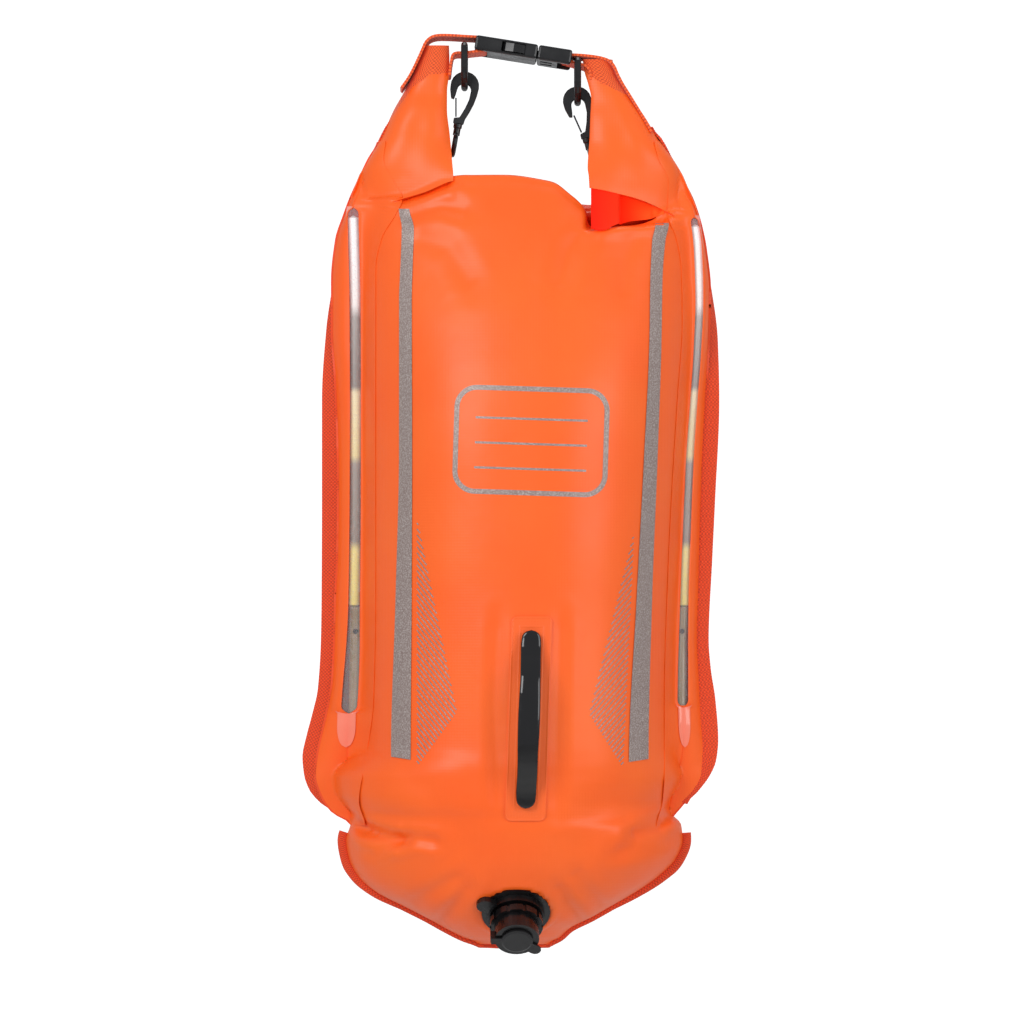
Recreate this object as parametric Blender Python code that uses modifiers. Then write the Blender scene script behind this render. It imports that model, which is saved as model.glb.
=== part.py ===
"""Inflatable open water swim buoy with a roll-top dry compartment, hung by its closed top loop.

Metres, +Z up, front towards -Y. The origin is the underside of the closed buckle, where a
hook or a hand carries the buoy.
"""
import math

import bmesh
import bpy
from mathutils import Matrix, Vector

# Bag
bag_half_width = 0.156
bag_height = 0.5745
bag_centre_x = -0.00525
bag_top_drop = 0.0885
front_depth = 0.100
rear_depth = 0.092
liner_thickness = 0.0012
seat_gap = 0.0003
section_power = 2.4
section_fall = 0.6
bag_columns = 22

# Webbing
edge_webbing_width = 0.020
edge_webbing_thickness = 0.0016
closure_webbing_width = 0.030
closure_webbing_thickness = 0.0018
binding_width = 0.005
binding_thickness = 0.0034

# Light tubes
tube_radius = 0.0040
film_thickness = 0.0005
film_flange_width = 0.0030
lamp_radius = 0.0046
lamp_wall = 0.0008
lamp_plug_depth = 0.006
lamp_button_radius = 0.0022
lamp_button_height = 0.0012
lamp_button_recess = 0.0005
lamp_button_drop = 0.018
cell_radius = 0.0034
cell_length = 0.040
tube_cap_length = 0.0055

# Grab handle
patch_width = 0.030
patch_length = 0.151
patch_thickness = 0.0008
handle_width = 0.0150
handle_length = 0.131
handle_thickness = 0.0045
handle_rise = 0.016

# Valve
valve_flange_radius = 0.0255
valve_flange_thickness = 0.0016
valve_collar_radius = 0.0212
valve_collar_height = 0.0072
valve_bore_radius = 0.0145
grip_radius = 0.0198
grip_height = 0.0055
insert_skirt_radius = 0.0140
insert_skirt_length = 0.0120
insert_wall = 0.0018
barrel_radius = 0.0165
barrel_height = 0.0125
mouth_bore_radius = 0.0092
seal_wire_radius = 0.0009
plug_radius = 0.0086
plug_tip_radius = 0.0078
plug_depth = 0.005
cap_radius = 0.0118
cap_thickness = 0.0026
cap_hinge_offset = 0.0192
cap_tab_reach = 0.0215
cap_tab_width = 0.0090
flap_thickness = 0.0008
flap_radius = 0.0110
valve_lug_reach = 0.0075
valve_lug_half_width = 0.0062
valve_lug_angle = math.radians(150)
valve_well_depth = 0.022
valve_seat_depth = 0.0034

# Buckle
loop_tilt = math.radians(9.0)
loop_roll = math.radians(4.0)
buckle_length = 0.073
buckle_width = 0.041
buckle_thickness = 0.0110
buckle_rounding = 0.0017
socket_length = buckle_length * 0.644
buckle_wall = 0.0017
buckle_join_gap = 0.0006
bar_radius = 0.0021
bar_inset = 0.0052
prong_length = buckle_length * 0.425
prong_thickness = 0.0036
prong_height = 0.0062
prong_bulge = 0.0024
prong_press_length = buckle_length * 0.247
guide_width = 0.0050
guide_length = buckle_length * 0.356
slot_length = buckle_length * 0.123
slot_width = 0.0060
prong_room = 0.0020
window_inset = buckle_length * 0.123

# D-rings and snap hooks
ring_wire_radius = 0.0026
ring_inner_width = 0.0318
ring_drop = 0.0305
hook_thickness = 0.0055
hook_top_radius = 0.0107
hook_top_rise = 0.0015
hook_bend_radius = 0.0052
hook_length = 0.0275
hook_collar_half_width = 0.0039
gate_thickness = 0.0011
gate_width = 0.0042
eye_wire_radius = 0.0017
eye_half_width = 0.0085
eye_height = 0.0160
neck_radius = 0.0026
neck_length = 0.0068
left_hook_lean = math.radians(10)
right_hook_lean = math.radians(-14)

# Shares of the bag: each row is a height, from 0 at the top edge to 1 at the bottom, as a share of
# bag_height, then the left edge and the right edge as shares of bag_half_width, then the depth
bag_outline_shares = (
    (0.000, 0.730, 0.780, 0.36), (0.016, 0.734, 0.796, 0.41), (0.035, 0.740, 0.820, 0.46),
    (0.074, 0.740, 0.844, 0.56), (0.120, 0.737, 0.850, 0.66), (0.198, 0.738, 0.850, 0.82),
    (0.290, 0.733, 0.828, 0.95), (0.394, 0.723, 0.800, 1.00), (0.499, 0.720, 0.782, 1.00),
    (0.603, 0.722, 0.760, 1.00), (0.668, 0.725, 0.757, 1.00), (0.714, 0.730, 0.757, 1.00),
    (0.740, 0.738, 0.762, 1.00), (0.760, 0.815, 0.785, 1.00), (0.779, 0.872, 0.802, 0.99),
    (0.800, 0.862, 0.768, 0.98), (0.817, 0.822, 0.735, 0.97), (0.830, 0.785, 0.752, 0.95),
    (0.843, 0.790, 0.798, 0.94), (0.864, 0.812, 0.806, 0.91), (0.888, 0.798, 0.774, 0.865),
    (0.911, 0.755, 0.692, 0.80), (0.932, 0.668, 0.582, 0.72), (0.950, 0.540, 0.466, 0.63),
    (0.966, 0.423, 0.361, 0.54), (0.979, 0.337, 0.265, 0.43), (0.991, 0.250, 0.216, 0.30),
    (1.000, 0.168, 0.159, 0.12))
# How far the top edge sags, in shares of bag_height, at places across the bag from -1 to 1
top_sag_shares = ((-1.0, 0.028), (-0.55, 0.022), (-0.32, 0.001), (-0.05, 0.000), (0.22, 0.010),
                  (0.42, 0.028), (0.7, 0.032), (1.0, 0.030))
sag_fade_share = 0.07
rear_top_share = 0.062
# Height share, outer edge share, twist in degrees and width share of each edge webbing
left_webbing_shares = (
    (-0.104, 0.553, 90, 1.0), (-0.063, 0.635, 90, 1.0), (-0.0235, 0.706, 88, 1.0),
    (0.029, 0.793, 80, 1.0), (0.074, 0.837, 58, 1.0), (0.120, 0.868, 35, 1.0),
    (0.198, 0.910, 15, 1.0), (0.290, 0.928, 0, 1.0), (0.420, 0.928, 0, 1.0), (0.551, 0.930, 0, 1.0),
    (0.603, 0.933, 0, 1.0), (0.667, 0.948, 0, 1.0), (0.700, 0.975, 0, 1.0), (0.730, 1.004, 0, 1.0),
    (0.755, 1.022, 0, 0.95), (0.779, 1.014, 0, 0.85), (0.800, 0.986, 0, 0.66),
    (0.817, 0.930, 0, 0.48), (0.832, 0.860, 0, 0.35))
right_webbing_shares = (
    (-0.066, 0.655, 90, 1.0), (-0.050, 0.700, 90, 1.0), (-0.017, 0.769, 88, 1.0),
    (0.022, 0.841, 88, 1.0), (0.060, 0.889, 80, 1.0), (0.133, 0.937, 58, 1.0),
    (0.211, 0.974, 28, 1.0), (0.290, 0.981, 0, 1.0), (0.420, 0.961, 0, 1.0), (0.499, 0.947, 0, 1.0),
    (0.603, 0.930, 0, 1.0), (0.640, 0.940, 0, 1.0), (0.680, 0.962, 0, 1.0), (0.734, 0.976, 0, 1.0),
    (0.760, 0.966, 0, 0.85), (0.779, 0.937, 0, 0.75), (0.800, 0.880, 0, 0.60),
    (0.817, 0.826, 0, 0.42))
# Height share, outer edge, inner edge and half depth of the rolled top's two upstanding ends
left_end_shares = (
    (0.000, 0.742, 0.293, 0.33), (-0.017, 0.668, 0.298, 0.31), (-0.056, 0.616, 0.312, 0.27),
    (-0.089, 0.566, 0.329, 0.24), (-0.112, 0.519, 0.339, 0.20), (-0.134, 0.464, 0.344, 0.17),
    (-0.154, 0.428, 0.344, 0.145), (-0.167, 0.411, 0.346, 0.125))
right_end_shares = (
    (0.000, 0.820, 0.351, 0.33), (-0.010, 0.742, 0.346, 0.31), (-0.050, 0.672, 0.356, 0.27),
    (-0.078, 0.604, 0.365, 0.24), (-0.102, 0.546, 0.368, 0.20), (-0.121, 0.502, 0.368, 0.17),
    (-0.138, 0.471, 0.368, 0.145), (-0.149, 0.452, 0.370, 0.125))
# Height share and centre share of the light tubes
left_tube_shares = ((0.052, 0.774), (0.120, 0.777), (0.198, 0.779), (0.290, 0.775), (0.394, 0.764),
                    (0.499, 0.762), (0.603, 0.765), (0.668, 0.768), (0.698, 0.772), (0.736, 0.785))
right_tube_shares = ((0.056, 0.885), (0.120, 0.890), (0.198, 0.888), (0.290, 0.865),
                     (0.394, 0.838), (0.499, 0.820), (0.603, 0.798), (0.668, 0.796),
                     (0.698, 0.796), (0.736, 0.800))
tube_top_share = 0.052
tube_end_share = 0.560
lamp_end_share = 0.698
film_end_share = 0.734
# Routes of the closure webbings in the buckle's own plane, as shares of buckle_length
left_over_shares = ((-1.156, -0.516), (-1.078, -0.358), (-1.004, -0.096), (-0.979, 0.012),
                    (-0.916, 0.068), (-0.762, 0.092), (-0.603, 0.106))
left_under_shares = ((-0.520, 0.002), (-0.603, -0.023), (-0.685, -0.033), (-0.734, -0.071),
                     (-0.737, -0.164), (-0.731, -0.300))
right_over_shares = ((1.310, -0.360), (1.178, -0.210), (1.035, -0.045), (0.945, 0.110),
                     (0.829, 0.152), (0.626, 0.148))
right_under_shares = ((0.493, 0.018), (0.568, 0.008), (0.644, 0.005), (0.696, -0.036),
                      (0.703, -0.115))
left_ring_share = -0.603
right_ring_share = 0.568

# Places on the bag, as shares of its height and half width
valve_height_share = 0.957
valve_side_share = 0.005
handle_top_share = 0.570
handle_side_share = 0.048

steps_round = 20
weld_distance = 0.00001
first_row_gap_share = 0.008
liner_top_share = 0.055
liner_foot_share = 0.985
seam_top_share = 0.30
seam_foot_share = 0.77
twist_top_share = -0.045
twist_span_share = 0.055
face_step_share = 0.012
tube_step_share = 0.004
tube_row_gap_share = 0.006
film_overlap_share = 0.010
loop_width_room = 0.0379
loop_half_width = buckle_length * 1.618 + loop_width_room
loop_start_share = 0.045
loop_blend_share = 0.045


# Tables
def at_share(table, height, column):
    """Read one column of a table at a height share, straight between its rows."""
    rows = sorted(table)
    if height <= rows[0][0]:
        return rows[0][column]
    for low, high in zip(rows, rows[1:]):
        if height <= high[0]:
            along = (height - low[0]) / (high[0] - low[0])
            return low[column] + along * (high[column] - low[column])
    return rows[-1][column]


def bag_x(share):
    """World X of a place across the bag."""
    return bag_centre_x + share * bag_half_width


def loop_x(share, height):
    """World X of a place near the carry loop, where the buckle sets the width."""
    along = min(1.0, max(0.0, (loop_start_share - height) / loop_blend_share))
    half_width = bag_half_width + along * (loop_half_width - bag_half_width)
    return bag_centre_x + share * half_width


def bag_z(share):
    """World Z of a height share of the bag."""
    return -bag_top_drop - share * bag_height


def top_sag(across):
    """Sag of the bag's top edge at a place across it."""
    return at_share(top_sag_shares, across, 1) * bag_height


def chamber_point(side, height, across, lift=0.0):
    """Point on a chamber's outer face; side is -1 in front and 1 behind, across runs -1 to 1."""
    left = -at_share(bag_outline_shares, height, 1)
    right = at_share(bag_outline_shares, height, 2)
    half = (right - left) / 2
    place = (left + right) / 2 + across * half
    depth = front_depth if side < 0 else rear_depth
    depth *= at_share(bag_outline_shares, height, 3)
    bulge = depth * (1 - abs(across) ** section_power) ** section_fall
    fade = max(0.0, 1 - height / sag_fade_share)
    drop = top_sag(place) * fade
    seam = liner_thickness / 2 + seat_gap
    return Vector((bag_x(place), side * (seam + bulge + lift), bag_z(height) - drop))


def across_of(height, place):
    """The across value whose point lies at a place share of the bag."""
    left = -at_share(bag_outline_shares, height, 1)
    right = at_share(bag_outline_shares, height, 2)
    return (place - (left + right) / 2) / ((right - left) / 2)


def chamber_normal(side, height, across):
    """Outward direction of a chamber's face at a point."""
    small = face_step_share
    down = chamber_point(side, height + small, across) - chamber_point(side, height - small, across)
    over = chamber_point(side, height, across + small) - chamber_point(side, height, across - small)
    normal = over.cross(down).normalized()
    return normal if normal.y * side > 0 else -normal


# Scene and helpers
for old in list(bpy.data.objects):
    bpy.data.objects.remove(old, do_unlink=True)
parts = bpy.data.collections.new("open_water_swim_buoy")
bpy.context.scene.collection.children.link(parts)
cutters = bpy.data.collections.new("cutters")
bpy.context.scene.collection.children.link(cutters)


def make_material(name, colour, roughness, metallic=0.0):
    """A Principled material from a linear colour."""
    material = bpy.data.materials.new(name)
    material.use_nodes = True
    shader = material.node_tree.nodes["Principled BSDF"]
    shader.inputs["Base Color"].default_value = (*colour, 1.0)
    shader.inputs["Roughness"].default_value = roughness
    shader.inputs["Metallic"].default_value = metallic
    material.diffuse_color = (*colour, 1.0)
    return material


bag_fabric = make_material("coated orange fabric", (1.0, 0.17, 0.04), 0.4)
orange_webbing = make_material("orange webbing", (0.82, 0.09, 0.02), 0.8)
clear_film = make_material("clear film", (1.0, 0.45, 0.3), 0.2)
light_plastic = make_material("translucent light tube", (0.85, 0.85, 0.82), 0.3)
black_plastic = make_material("satin black plastic", (0.015, 0.015, 0.016), 0.4)
gloss_black = make_material("gloss black rubber", (0.01, 0.01, 0.01), 0.15)
soft_rubber = make_material("black rubber", (0.02, 0.02, 0.02), 0.6)
cell_steel = make_material("cell steel", (0.6, 0.6, 0.6), 0.3, 1.0)


def add_object(name, mesh, material, parent=None, collection=parts):
    """Put a mesh in a collection under a parent frame."""
    item = bpy.data.objects.new(name, mesh)
    collection.objects.link(item)
    item.parent = parent
    if material:
        mesh.materials.append(material)
    return item


def mesh_of(bm, name):
    """Turn a bmesh into a mesh with outward faces."""
    bmesh.ops.recalc_face_normals(bm, faces=bm.faces[:])
    mesh = bpy.data.meshes.new(name)
    bm.to_mesh(mesh)
    bm.free()
    return mesh


def smooth(item, degrees=35):
    """Shade round faces smooth and keep the sharp edges."""
    item.data.shade_smooth()
    item.data.set_sharp_from_angle(angle=math.radians(degrees))
    return item


def make_frame(name, matrix):
    """An empty that carries pieces placed in their own axes."""
    frame = bpy.data.objects.new(name, None)
    parts.objects.link(frame)
    frame.matrix_world = matrix
    return frame


def add_bevel(item, width, segments=2):
    """Round an object's sharp edges."""
    rounding = item.modifiers.new("rounding", "BEVEL")
    rounding.width = width
    rounding.segments = segments
    rounding.limit_method = "ANGLE"
    rounding.angle_limit = math.radians(40)
    return rounding


def loft(name, rings, material, parent=None, closed=False):
    """Skin between unlike sections that have equal point counts."""
    bm = bmesh.new()
    loops = [[bm.verts.new(point) for point in ring] for ring in rings]
    count = len(loops[0])
    pairs = list(zip(loops, loops[1:]))
    if closed:
        pairs.append((loops[-1], loops[0]))
    for one, two in pairs:
        for i in range(count):
            j = (i + 1) % count
            bm.faces.new((one[i], one[j], two[j], two[i]))
    if not closed:
        bm.faces.new(loops[0][::-1])
        bm.faces.new(loops[-1])
    return smooth(add_object(name, mesh_of(bm, name), material, parent))


def sheet(name, rows, material, thickness, parent=None, offset=0.0):
    """Open surface through rows of points, given its thickness by Solidify."""
    bm = bmesh.new()
    grid = [[bm.verts.new(point) for point in row] for row in rows]
    for one, two in zip(grid, grid[1:]):
        for i in range(len(one) - 1):
            bm.faces.new((one[i], one[i + 1], two[i + 1], two[i]))
    item = add_object(name, mesh_of(bm, name), material, parent)
    solid = item.modifiers.new("thickness", "SOLIDIFY")
    solid.thickness = thickness
    solid.offset = offset
    solid.use_even_offset = True
    return smooth(item)


def turned(name, profile, material, parent=None, matrix=None, steps=steps_round,
           collection=parts, closed=False):
    """Turn a profile of radius and height, listed from top to bottom, about Z."""
    mesh = bpy.data.meshes.new(name)
    edges = [(i, i + 1) for i in range(len(profile) - 1)]
    if closed:
        edges.append((len(profile) - 1, 0))
    mesh.from_pydata([(radius, 0.0, height) for radius, height in profile], edges, [])
    item = add_object(name, mesh, material, parent, collection)
    if matrix:
        item.matrix_local = matrix
    screw = item.modifiers.new("turn", "SCREW")
    screw.steps = steps
    screw.render_steps = steps
    screw.use_merge_vertices = True
    screw.merge_threshold = weld_distance
    screw.use_smooth_shade = False
    return item


def block(name, size, centre, material, parent=None, collection=parts, rounding=0.0, segments=2):
    """A box of a size round a centre, with its edges rounded."""
    bm = bmesh.new()
    matrix = Matrix.Translation(centre) @ Matrix.Diagonal((*size, 1.0))
    bmesh.ops.create_cube(bm, size=1.0, matrix=matrix)
    item = add_object(name, mesh_of(bm, name), material, parent, collection)
    if rounding:
        add_bevel(item, rounding, segments)
    return item


def outline_plate(name, points, thickness, material, parent=None, matrix=None,
                  collection=parts, holes=()):
    """A flat outline, drawn in X and Y, as a filled 2D curve with half its thickness each way."""
    curve = bpy.data.curves.new(name, "CURVE")
    curve.dimensions = "2D"
    curve.fill_mode = "BOTH"
    curve.extrude = thickness / 2
    for ring in (points, *holes):
        spline = curve.splines.new("POLY")
        spline.points.add(len(ring) - 1)
        for point, place in zip(spline.points, ring):
            point.co = (place[0], place[1], 0.0, 1.0)
        spline.use_cyclic_u = True
    drawn = bpy.data.objects.new(name + "_drawn", curve)
    cutters.objects.link(drawn)
    bpy.context.view_layer.update()
    evaluated = drawn.evaluated_get(bpy.context.evaluated_depsgraph_get())
    mesh = bpy.data.meshes.new_from_object(evaluated)
    bpy.data.objects.remove(drawn, do_unlink=True)
    bm = bmesh.new()
    bm.from_mesh(mesh)
    bmesh.ops.remove_doubles(bm, verts=bm.verts[:], dist=weld_distance)
    mesh = mesh_of(bm, name)
    item = add_object(name, mesh, material, parent, collection)
    if matrix:
        item.matrix_local = matrix
    return item


def boolean(item, other, operation="DIFFERENCE"):
    """Cut an object by a cutter, or join them."""
    other.hide_render = True
    other.display_type = "WIRE"
    change = item.modifiers.new(operation.lower(), "BOOLEAN")
    change.operation = operation
    change.solver = "EXACT"
    change.object = other
    return change


def arc(centre, radius, first, last, count):
    """Points along an arc, in degrees, both ends included."""
    points = []
    for i in range(count):
        angle = math.radians(first + (last - first) * i / (count - 1))
        points.append((centre[0] + radius * math.cos(angle), centre[1] + radius * math.sin(angle)))
    return points


def rounded_rectangle(width, height, radius, count=4):
    """Outline of a rectangle with round corners, about its centre."""
    points = []
    for sx, sy, first in ((1, 1, 0), (-1, 1, 90), (-1, -1, 180), (1, -1, 270)):
        centre = (sx * (width / 2 - radius), sy * (height / 2 - radius))
        points += arc(centre, radius, first, first + 90, count)
    return points


# Air chambers
def chamber_ring(side, height):
    """Section of a chamber at a height: its bulged face, then its flat inner face."""
    ring = []
    for i in range(bag_columns + 1):
        across = -math.cos(math.pi * i / bag_columns)
        ring.append(chamber_point(side, height, across))
    return ring


def make_chamber(name, side, first_height):
    """One inflated cell, welded shut at its seam, with a flat inner face and a sagging top."""
    heights = [row[0] for row in bag_outline_shares if row[0] > first_height + first_row_gap_share]
    bm = bmesh.new()
    rings = [[bm.verts.new(point) for point in chamber_ring(side, height)]
             for height in (first_height, *heights)]
    for one, two in zip(rings, rings[1:]):
        for i in range(bag_columns):
            bm.faces.new((one[i], one[i + 1], two[i + 1], two[i]))
    seam = side * (liner_thickness / 2 + seat_gap)
    top = rings[0]
    back = [bm.verts.new((vert.co.x, seam, vert.co.z)) for vert in top[1:-1]]
    back = [top[0], *back, top[-1]]
    bm.faces.new((top[0], top[1], back[1]))
    bm.faces.new((top[-2], top[-1], back[-2]))
    for i in range(1, bag_columns - 1):
        bm.faces.new((top[i], top[i + 1], back[i + 1], back[i]))
    bm.faces.new(rings[-1])
    left_edge = [ring[0] for ring in rings[1:]]
    right_edge = [ring[-1] for ring in rings[1:]]
    bm.faces.new(left_edge + right_edge[::-1] + back[::-1])
    return smooth(add_object(name, mesh_of(bm, name), bag_fabric))


valve_across = across_of(valve_height_share, valve_side_share)
valve_point = chamber_point(-1, valve_height_share, valve_across)
valve_axis = chamber_normal(-1, valve_height_share, valve_across)
valve_side = Vector((1, 0, 0))
valve_up = valve_axis.cross(valve_side).normalized()
valve_side = valve_up.cross(valve_axis).normalized()
valve_turn_matrix = Matrix((valve_side, valve_up, valve_axis)).transposed().to_4x4()
valve_matrix = Matrix.Translation(valve_point - valve_axis * valve_seat_depth) @ valve_turn_matrix
valve_frame = make_frame("valve_frame", valve_matrix)
cut_overrun = 0.020

front_chamber = make_chamber("front_chamber", -1, 0.0)
make_chamber("rear_chamber", 1, rear_top_share)
seat_radius = valve_flange_radius + seat_gap
seat_cutter = turned("valve_seat_cutter", ((0, cut_overrun), (seat_radius, cut_overrun),
                     (seat_radius, 0), (valve_bore_radius, 0),
                     (valve_bore_radius, -valve_well_depth), (0, -valve_well_depth)),
                     None, valve_frame, collection=cutters, steps=28)
boolean(front_chamber, seat_cutter)


# Dry compartment liner, whose welded edge carries the webbing
def liner_outline():
    """Outline in X and Z, from the top left down, and up the right side."""
    stitch_share = edge_webbing_width * 0.45 / bag_half_width
    left = []
    right = []
    for height, left_edge, right_edge, depth_share in bag_outline_shares:
        if height < liner_top_share or height > liner_foot_share:
            continue
        seam_left = left_edge
        seam_right = right_edge
        if seam_top_share < height < seam_foot_share:
            seam_left = at_share(left_webbing_shares, height, 1) - stitch_share
            seam_right = at_share(right_webbing_shares, height, 1) - stitch_share
        left.append((bag_x(-seam_left), bag_z(height)))
        right.append((bag_x(seam_right), bag_z(height)))
    return left + right[::-1]


upright = Matrix.Rotation(math.radians(90), 4, "X")
outline_plate("dry_liner", liner_outline(), liner_thickness, bag_fabric, matrix=upright)


# Rolled top behind the saddle, and its two upstanding ends
roll_radius = 0.0088
roll_depth = 0.036
roll_points = 12
roll_across_shares = (-0.74, -0.60, -0.45, -0.32, -0.20, -0.05, 0.10, 0.25, 0.40, 0.55, 0.70, 0.80)


def make_rolled_top():
    """The folded closure, a flattened roll that follows the saddle."""
    rings = []
    top = bag_z(rear_top_share) + roll_radius + 2 * seat_gap
    for place in roll_across_shares:
        fade = 1 - rear_top_share / sag_fade_share
        centre = Vector((bag_x(place), roll_depth / 2 + liner_thickness, top - top_sag(place) * fade))
        ring = []
        for i in range(roll_points):
            angle = math.tau * i / roll_points
            ring.append(centre + Vector((0, roll_depth / 2 * math.cos(angle),
                                         roll_radius * math.sin(angle))))
        rings.append(ring)
    return loft("rolled_top", rings, bag_fabric)


make_rolled_top()
end_points = 20
end_hollow = 0.0085
end_lift = 0.0008


def make_roll_end(name, table, side):
    """One upstanding end of the rolled top, from the bag's shoulder to the buckle webbing."""
    rings = []
    for row, (height, outer, inner, depth_share) in enumerate(table):
        places = sorted((side * outer, side * inner))
        centre = sum(places) / 2
        half = (places[1] - places[0]) / 2
        depth = depth_share * front_depth
        ring = []
        for i in range(end_points):
            angle = math.tau * i / end_points
            cosine = math.cos(angle)
            sine = math.sin(angle)
            place = centre + half * math.copysign(abs(cosine) ** 0.8, cosine)
            y = depth * math.copysign(abs(sine) ** 0.8, sine)
            if cosine * side < -0.2 and sine > -0.45:
                place += side * end_hollow / bag_half_width * min(1.0, -cosine * side)
            z = bag_z(height)
            if row == 0:
                z += end_lift - top_sag(place)
            ring.append(Vector((loop_x(place, height), y, z)))
        rings.append(ring)
    return loft(name, rings, bag_fabric)


make_roll_end("roll_end_left", left_end_shares, -1)
make_roll_end("roll_end_right", right_end_shares, 1)


# Edge webbings, which twist from the bag's face to the outer side of each upstanding end
def make_edge_webbing(name, table, side):
    """A flat strap along the seam, as a loft of thin rectangles."""
    centres = []
    for height, outer, twist, width_share in table:
        centres.append(Vector((loop_x(side * outer, height), 0, bag_z(height))))
    rings = []
    for i, (height, outer, twist, width_share) in enumerate(table):
        before = centres[max(i - 1, 0)]
        after = centres[min(i + 1, len(centres) - 1)]
        along = (after - before).normalized()
        inward = along.cross(Vector((0, 1, 0))).normalized()
        if inward.x * side > 0:
            inward = -inward
        angle = math.radians(twist)
        across = inward * math.cos(angle) + Vector((0, -1, 0)) * math.sin(angle)
        facing = inward * math.sin(angle) + Vector((0, 1, 0)) * math.cos(angle)
        half_width = edge_webbing_width * width_share / 2
        half_thick = edge_webbing_thickness / 2
        middle = centres[i] + inward * (half_width * math.cos(angle) + half_thick * math.sin(angle))
        middle.y -= (liner_thickness / 2 + seat_gap + half_thick) * math.cos(angle)
        back_share = min(1.0, max(0.0, (height - twist_top_share) / twist_span_share))
        middle.y += half_width * math.sin(angle) * back_share
        rings.append([middle - across * half_width - facing * half_thick,
                      middle + across * half_width - facing * half_thick,
                      middle + across * half_width + facing * half_thick,
                      middle - across * half_width + facing * half_thick])
    return loft(name, rings, orange_webbing)


make_edge_webbing("edge_webbing_left", left_webbing_shares, -1)
make_edge_webbing("edge_webbing_right", right_webbing_shares, 1)


# Binding folded over the seam round the bottom
def make_bottom_binding():
    """A folded strip just outside the chambers' bottom edge."""
    rows = [row for row in bag_outline_shares if row[0] > 0.85]
    route = [Vector((bag_x(-row[1]), 0, bag_z(row[0]))) for row in rows]
    route.append(Vector((bag_x(0), 0, bag_z(1) - binding_thickness / 4)))
    route += [Vector((bag_x(row[2]), 0, bag_z(row[0]))) for row in reversed(rows)]
    rings = []
    for i, point in enumerate(route):
        along = (route[min(i + 1, len(route) - 1)] - route[max(i - 1, 0)]).normalized()
        outward = Vector((0, 1, 0)).cross(along).normalized()
        if outward.dot(point - Vector((bag_x(0), 0, bag_z(0.8)))) < 0:
            outward = -outward
        inner = point + outward * (seat_gap * 2)
        outer = inner + outward * binding_width
        half = Vector((0, binding_thickness / 2, 0))
        rings.append([inner - half, outer - half * 0.8, outer + half * 0.8, inner + half])
    return loft("bottom_binding", rings, orange_webbing)


make_bottom_binding()


# Light tubes in their clear sleeves
tube_front = (liner_thickness / 2 + seat_gap + edge_webbing_thickness + 2 * seat_gap
              + film_thickness + lamp_radius)
section_steps = 14


def tube_place(table, side, height):
    """Centre of a light tube at a height share."""
    return Vector((bag_x(side * at_share(table, height, 1)), -tube_front, bag_z(height)))


def tube_heights(first, last):
    """Height shares of the tube's sections between two ends."""
    inner = [row[0] for row in left_tube_shares if first + tube_row_gap_share < row[0] < last - tube_row_gap_share]
    return [first, *inner, last]


def round_section(centre, along, radius, count=section_steps, first=0.0, last=360.0, closed=True):
    """Points round a tube's centre, from its outer side over its front."""
    over = Vector((0, -1, 0)).cross(along).normalized()
    forward = along.cross(over).normalized()
    if forward.y > 0:
        forward = -forward
    points = []
    for i in range(count):
        share = i / count if closed else i / (count - 1)
        angle = math.radians(first + (last - first) * share)
        points.append(centre + over * (radius * math.cos(angle))
                      + forward * (radius * math.sin(angle)))
    return points


def tube_direction(table, side, height):
    """Direction down the tube at a height share."""
    small = tube_step_share
    return (tube_place(table, side, height + small)
            - tube_place(table, side, height - small)).normalized()


def shell_tube(name, table, side, first, last, radius, wall, material, end_drop):
    """A tube closed at its lower end and open at its upper one; wall zero makes it solid."""
    heights = tube_heights(first, last)
    rings = []
    for height in heights:
        direction = tube_direction(table, side, height)
        rings.append(round_section(tube_place(table, side, height), direction, radius))
    if wall:
        inner_heights = tube_heights(first, last - end_drop / bag_height)
        for height in reversed(inner_heights):
            direction = tube_direction(table, side, height)
            rings.append(round_section(tube_place(table, side, height), direction, radius - wall))
        bm = bmesh.new()
        loops = [[bm.verts.new(point) for point in ring] for ring in rings]
        for one, two in zip(loops, loops[1:]):
            if one is loops[len(heights) - 1]:
                continue
            for i in range(section_steps):
                j = (i + 1) % section_steps
                bm.faces.new((one[i], one[j], two[j], two[i]))
        for i in range(section_steps):
            j = (i + 1) % section_steps
            bm.faces.new((loops[-1][i], loops[-1][j], loops[0][j], loops[0][i]))
        bm.faces.new(loops[len(heights) - 1])
        bm.faces.new(loops[len(heights)][::-1])
        return smooth(add_object(name, mesh_of(bm, name), material))
    return loft(name, rings, material)


def make_sleeve(name, table, side):
    """Clear film welded over the tube, with a flange on the webbing and open ends."""
    rows = []
    heights = tube_heights(tube_top_share - film_overlap_share, film_end_share)
    for height in heights:
        direction = tube_direction(table, side, height)
        centre = tube_place(table, side, height)
        radius = lamp_radius + seat_gap + film_thickness / 2
        row = round_section(centre, direction, radius, 12, -82, 200, closed=False)
        if (row[0].x - centre.x) * side < 0 and (row[1].x - centre.x) * side < 0:
            row = round_section(centre, direction, radius, 12, 262, -20, closed=False)
        flange = row[0] + Vector((side * film_flange_width, 0, 0))
        rows.append([flange, *row])
    return sheet(name, rows, clear_film, film_thickness)


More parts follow.
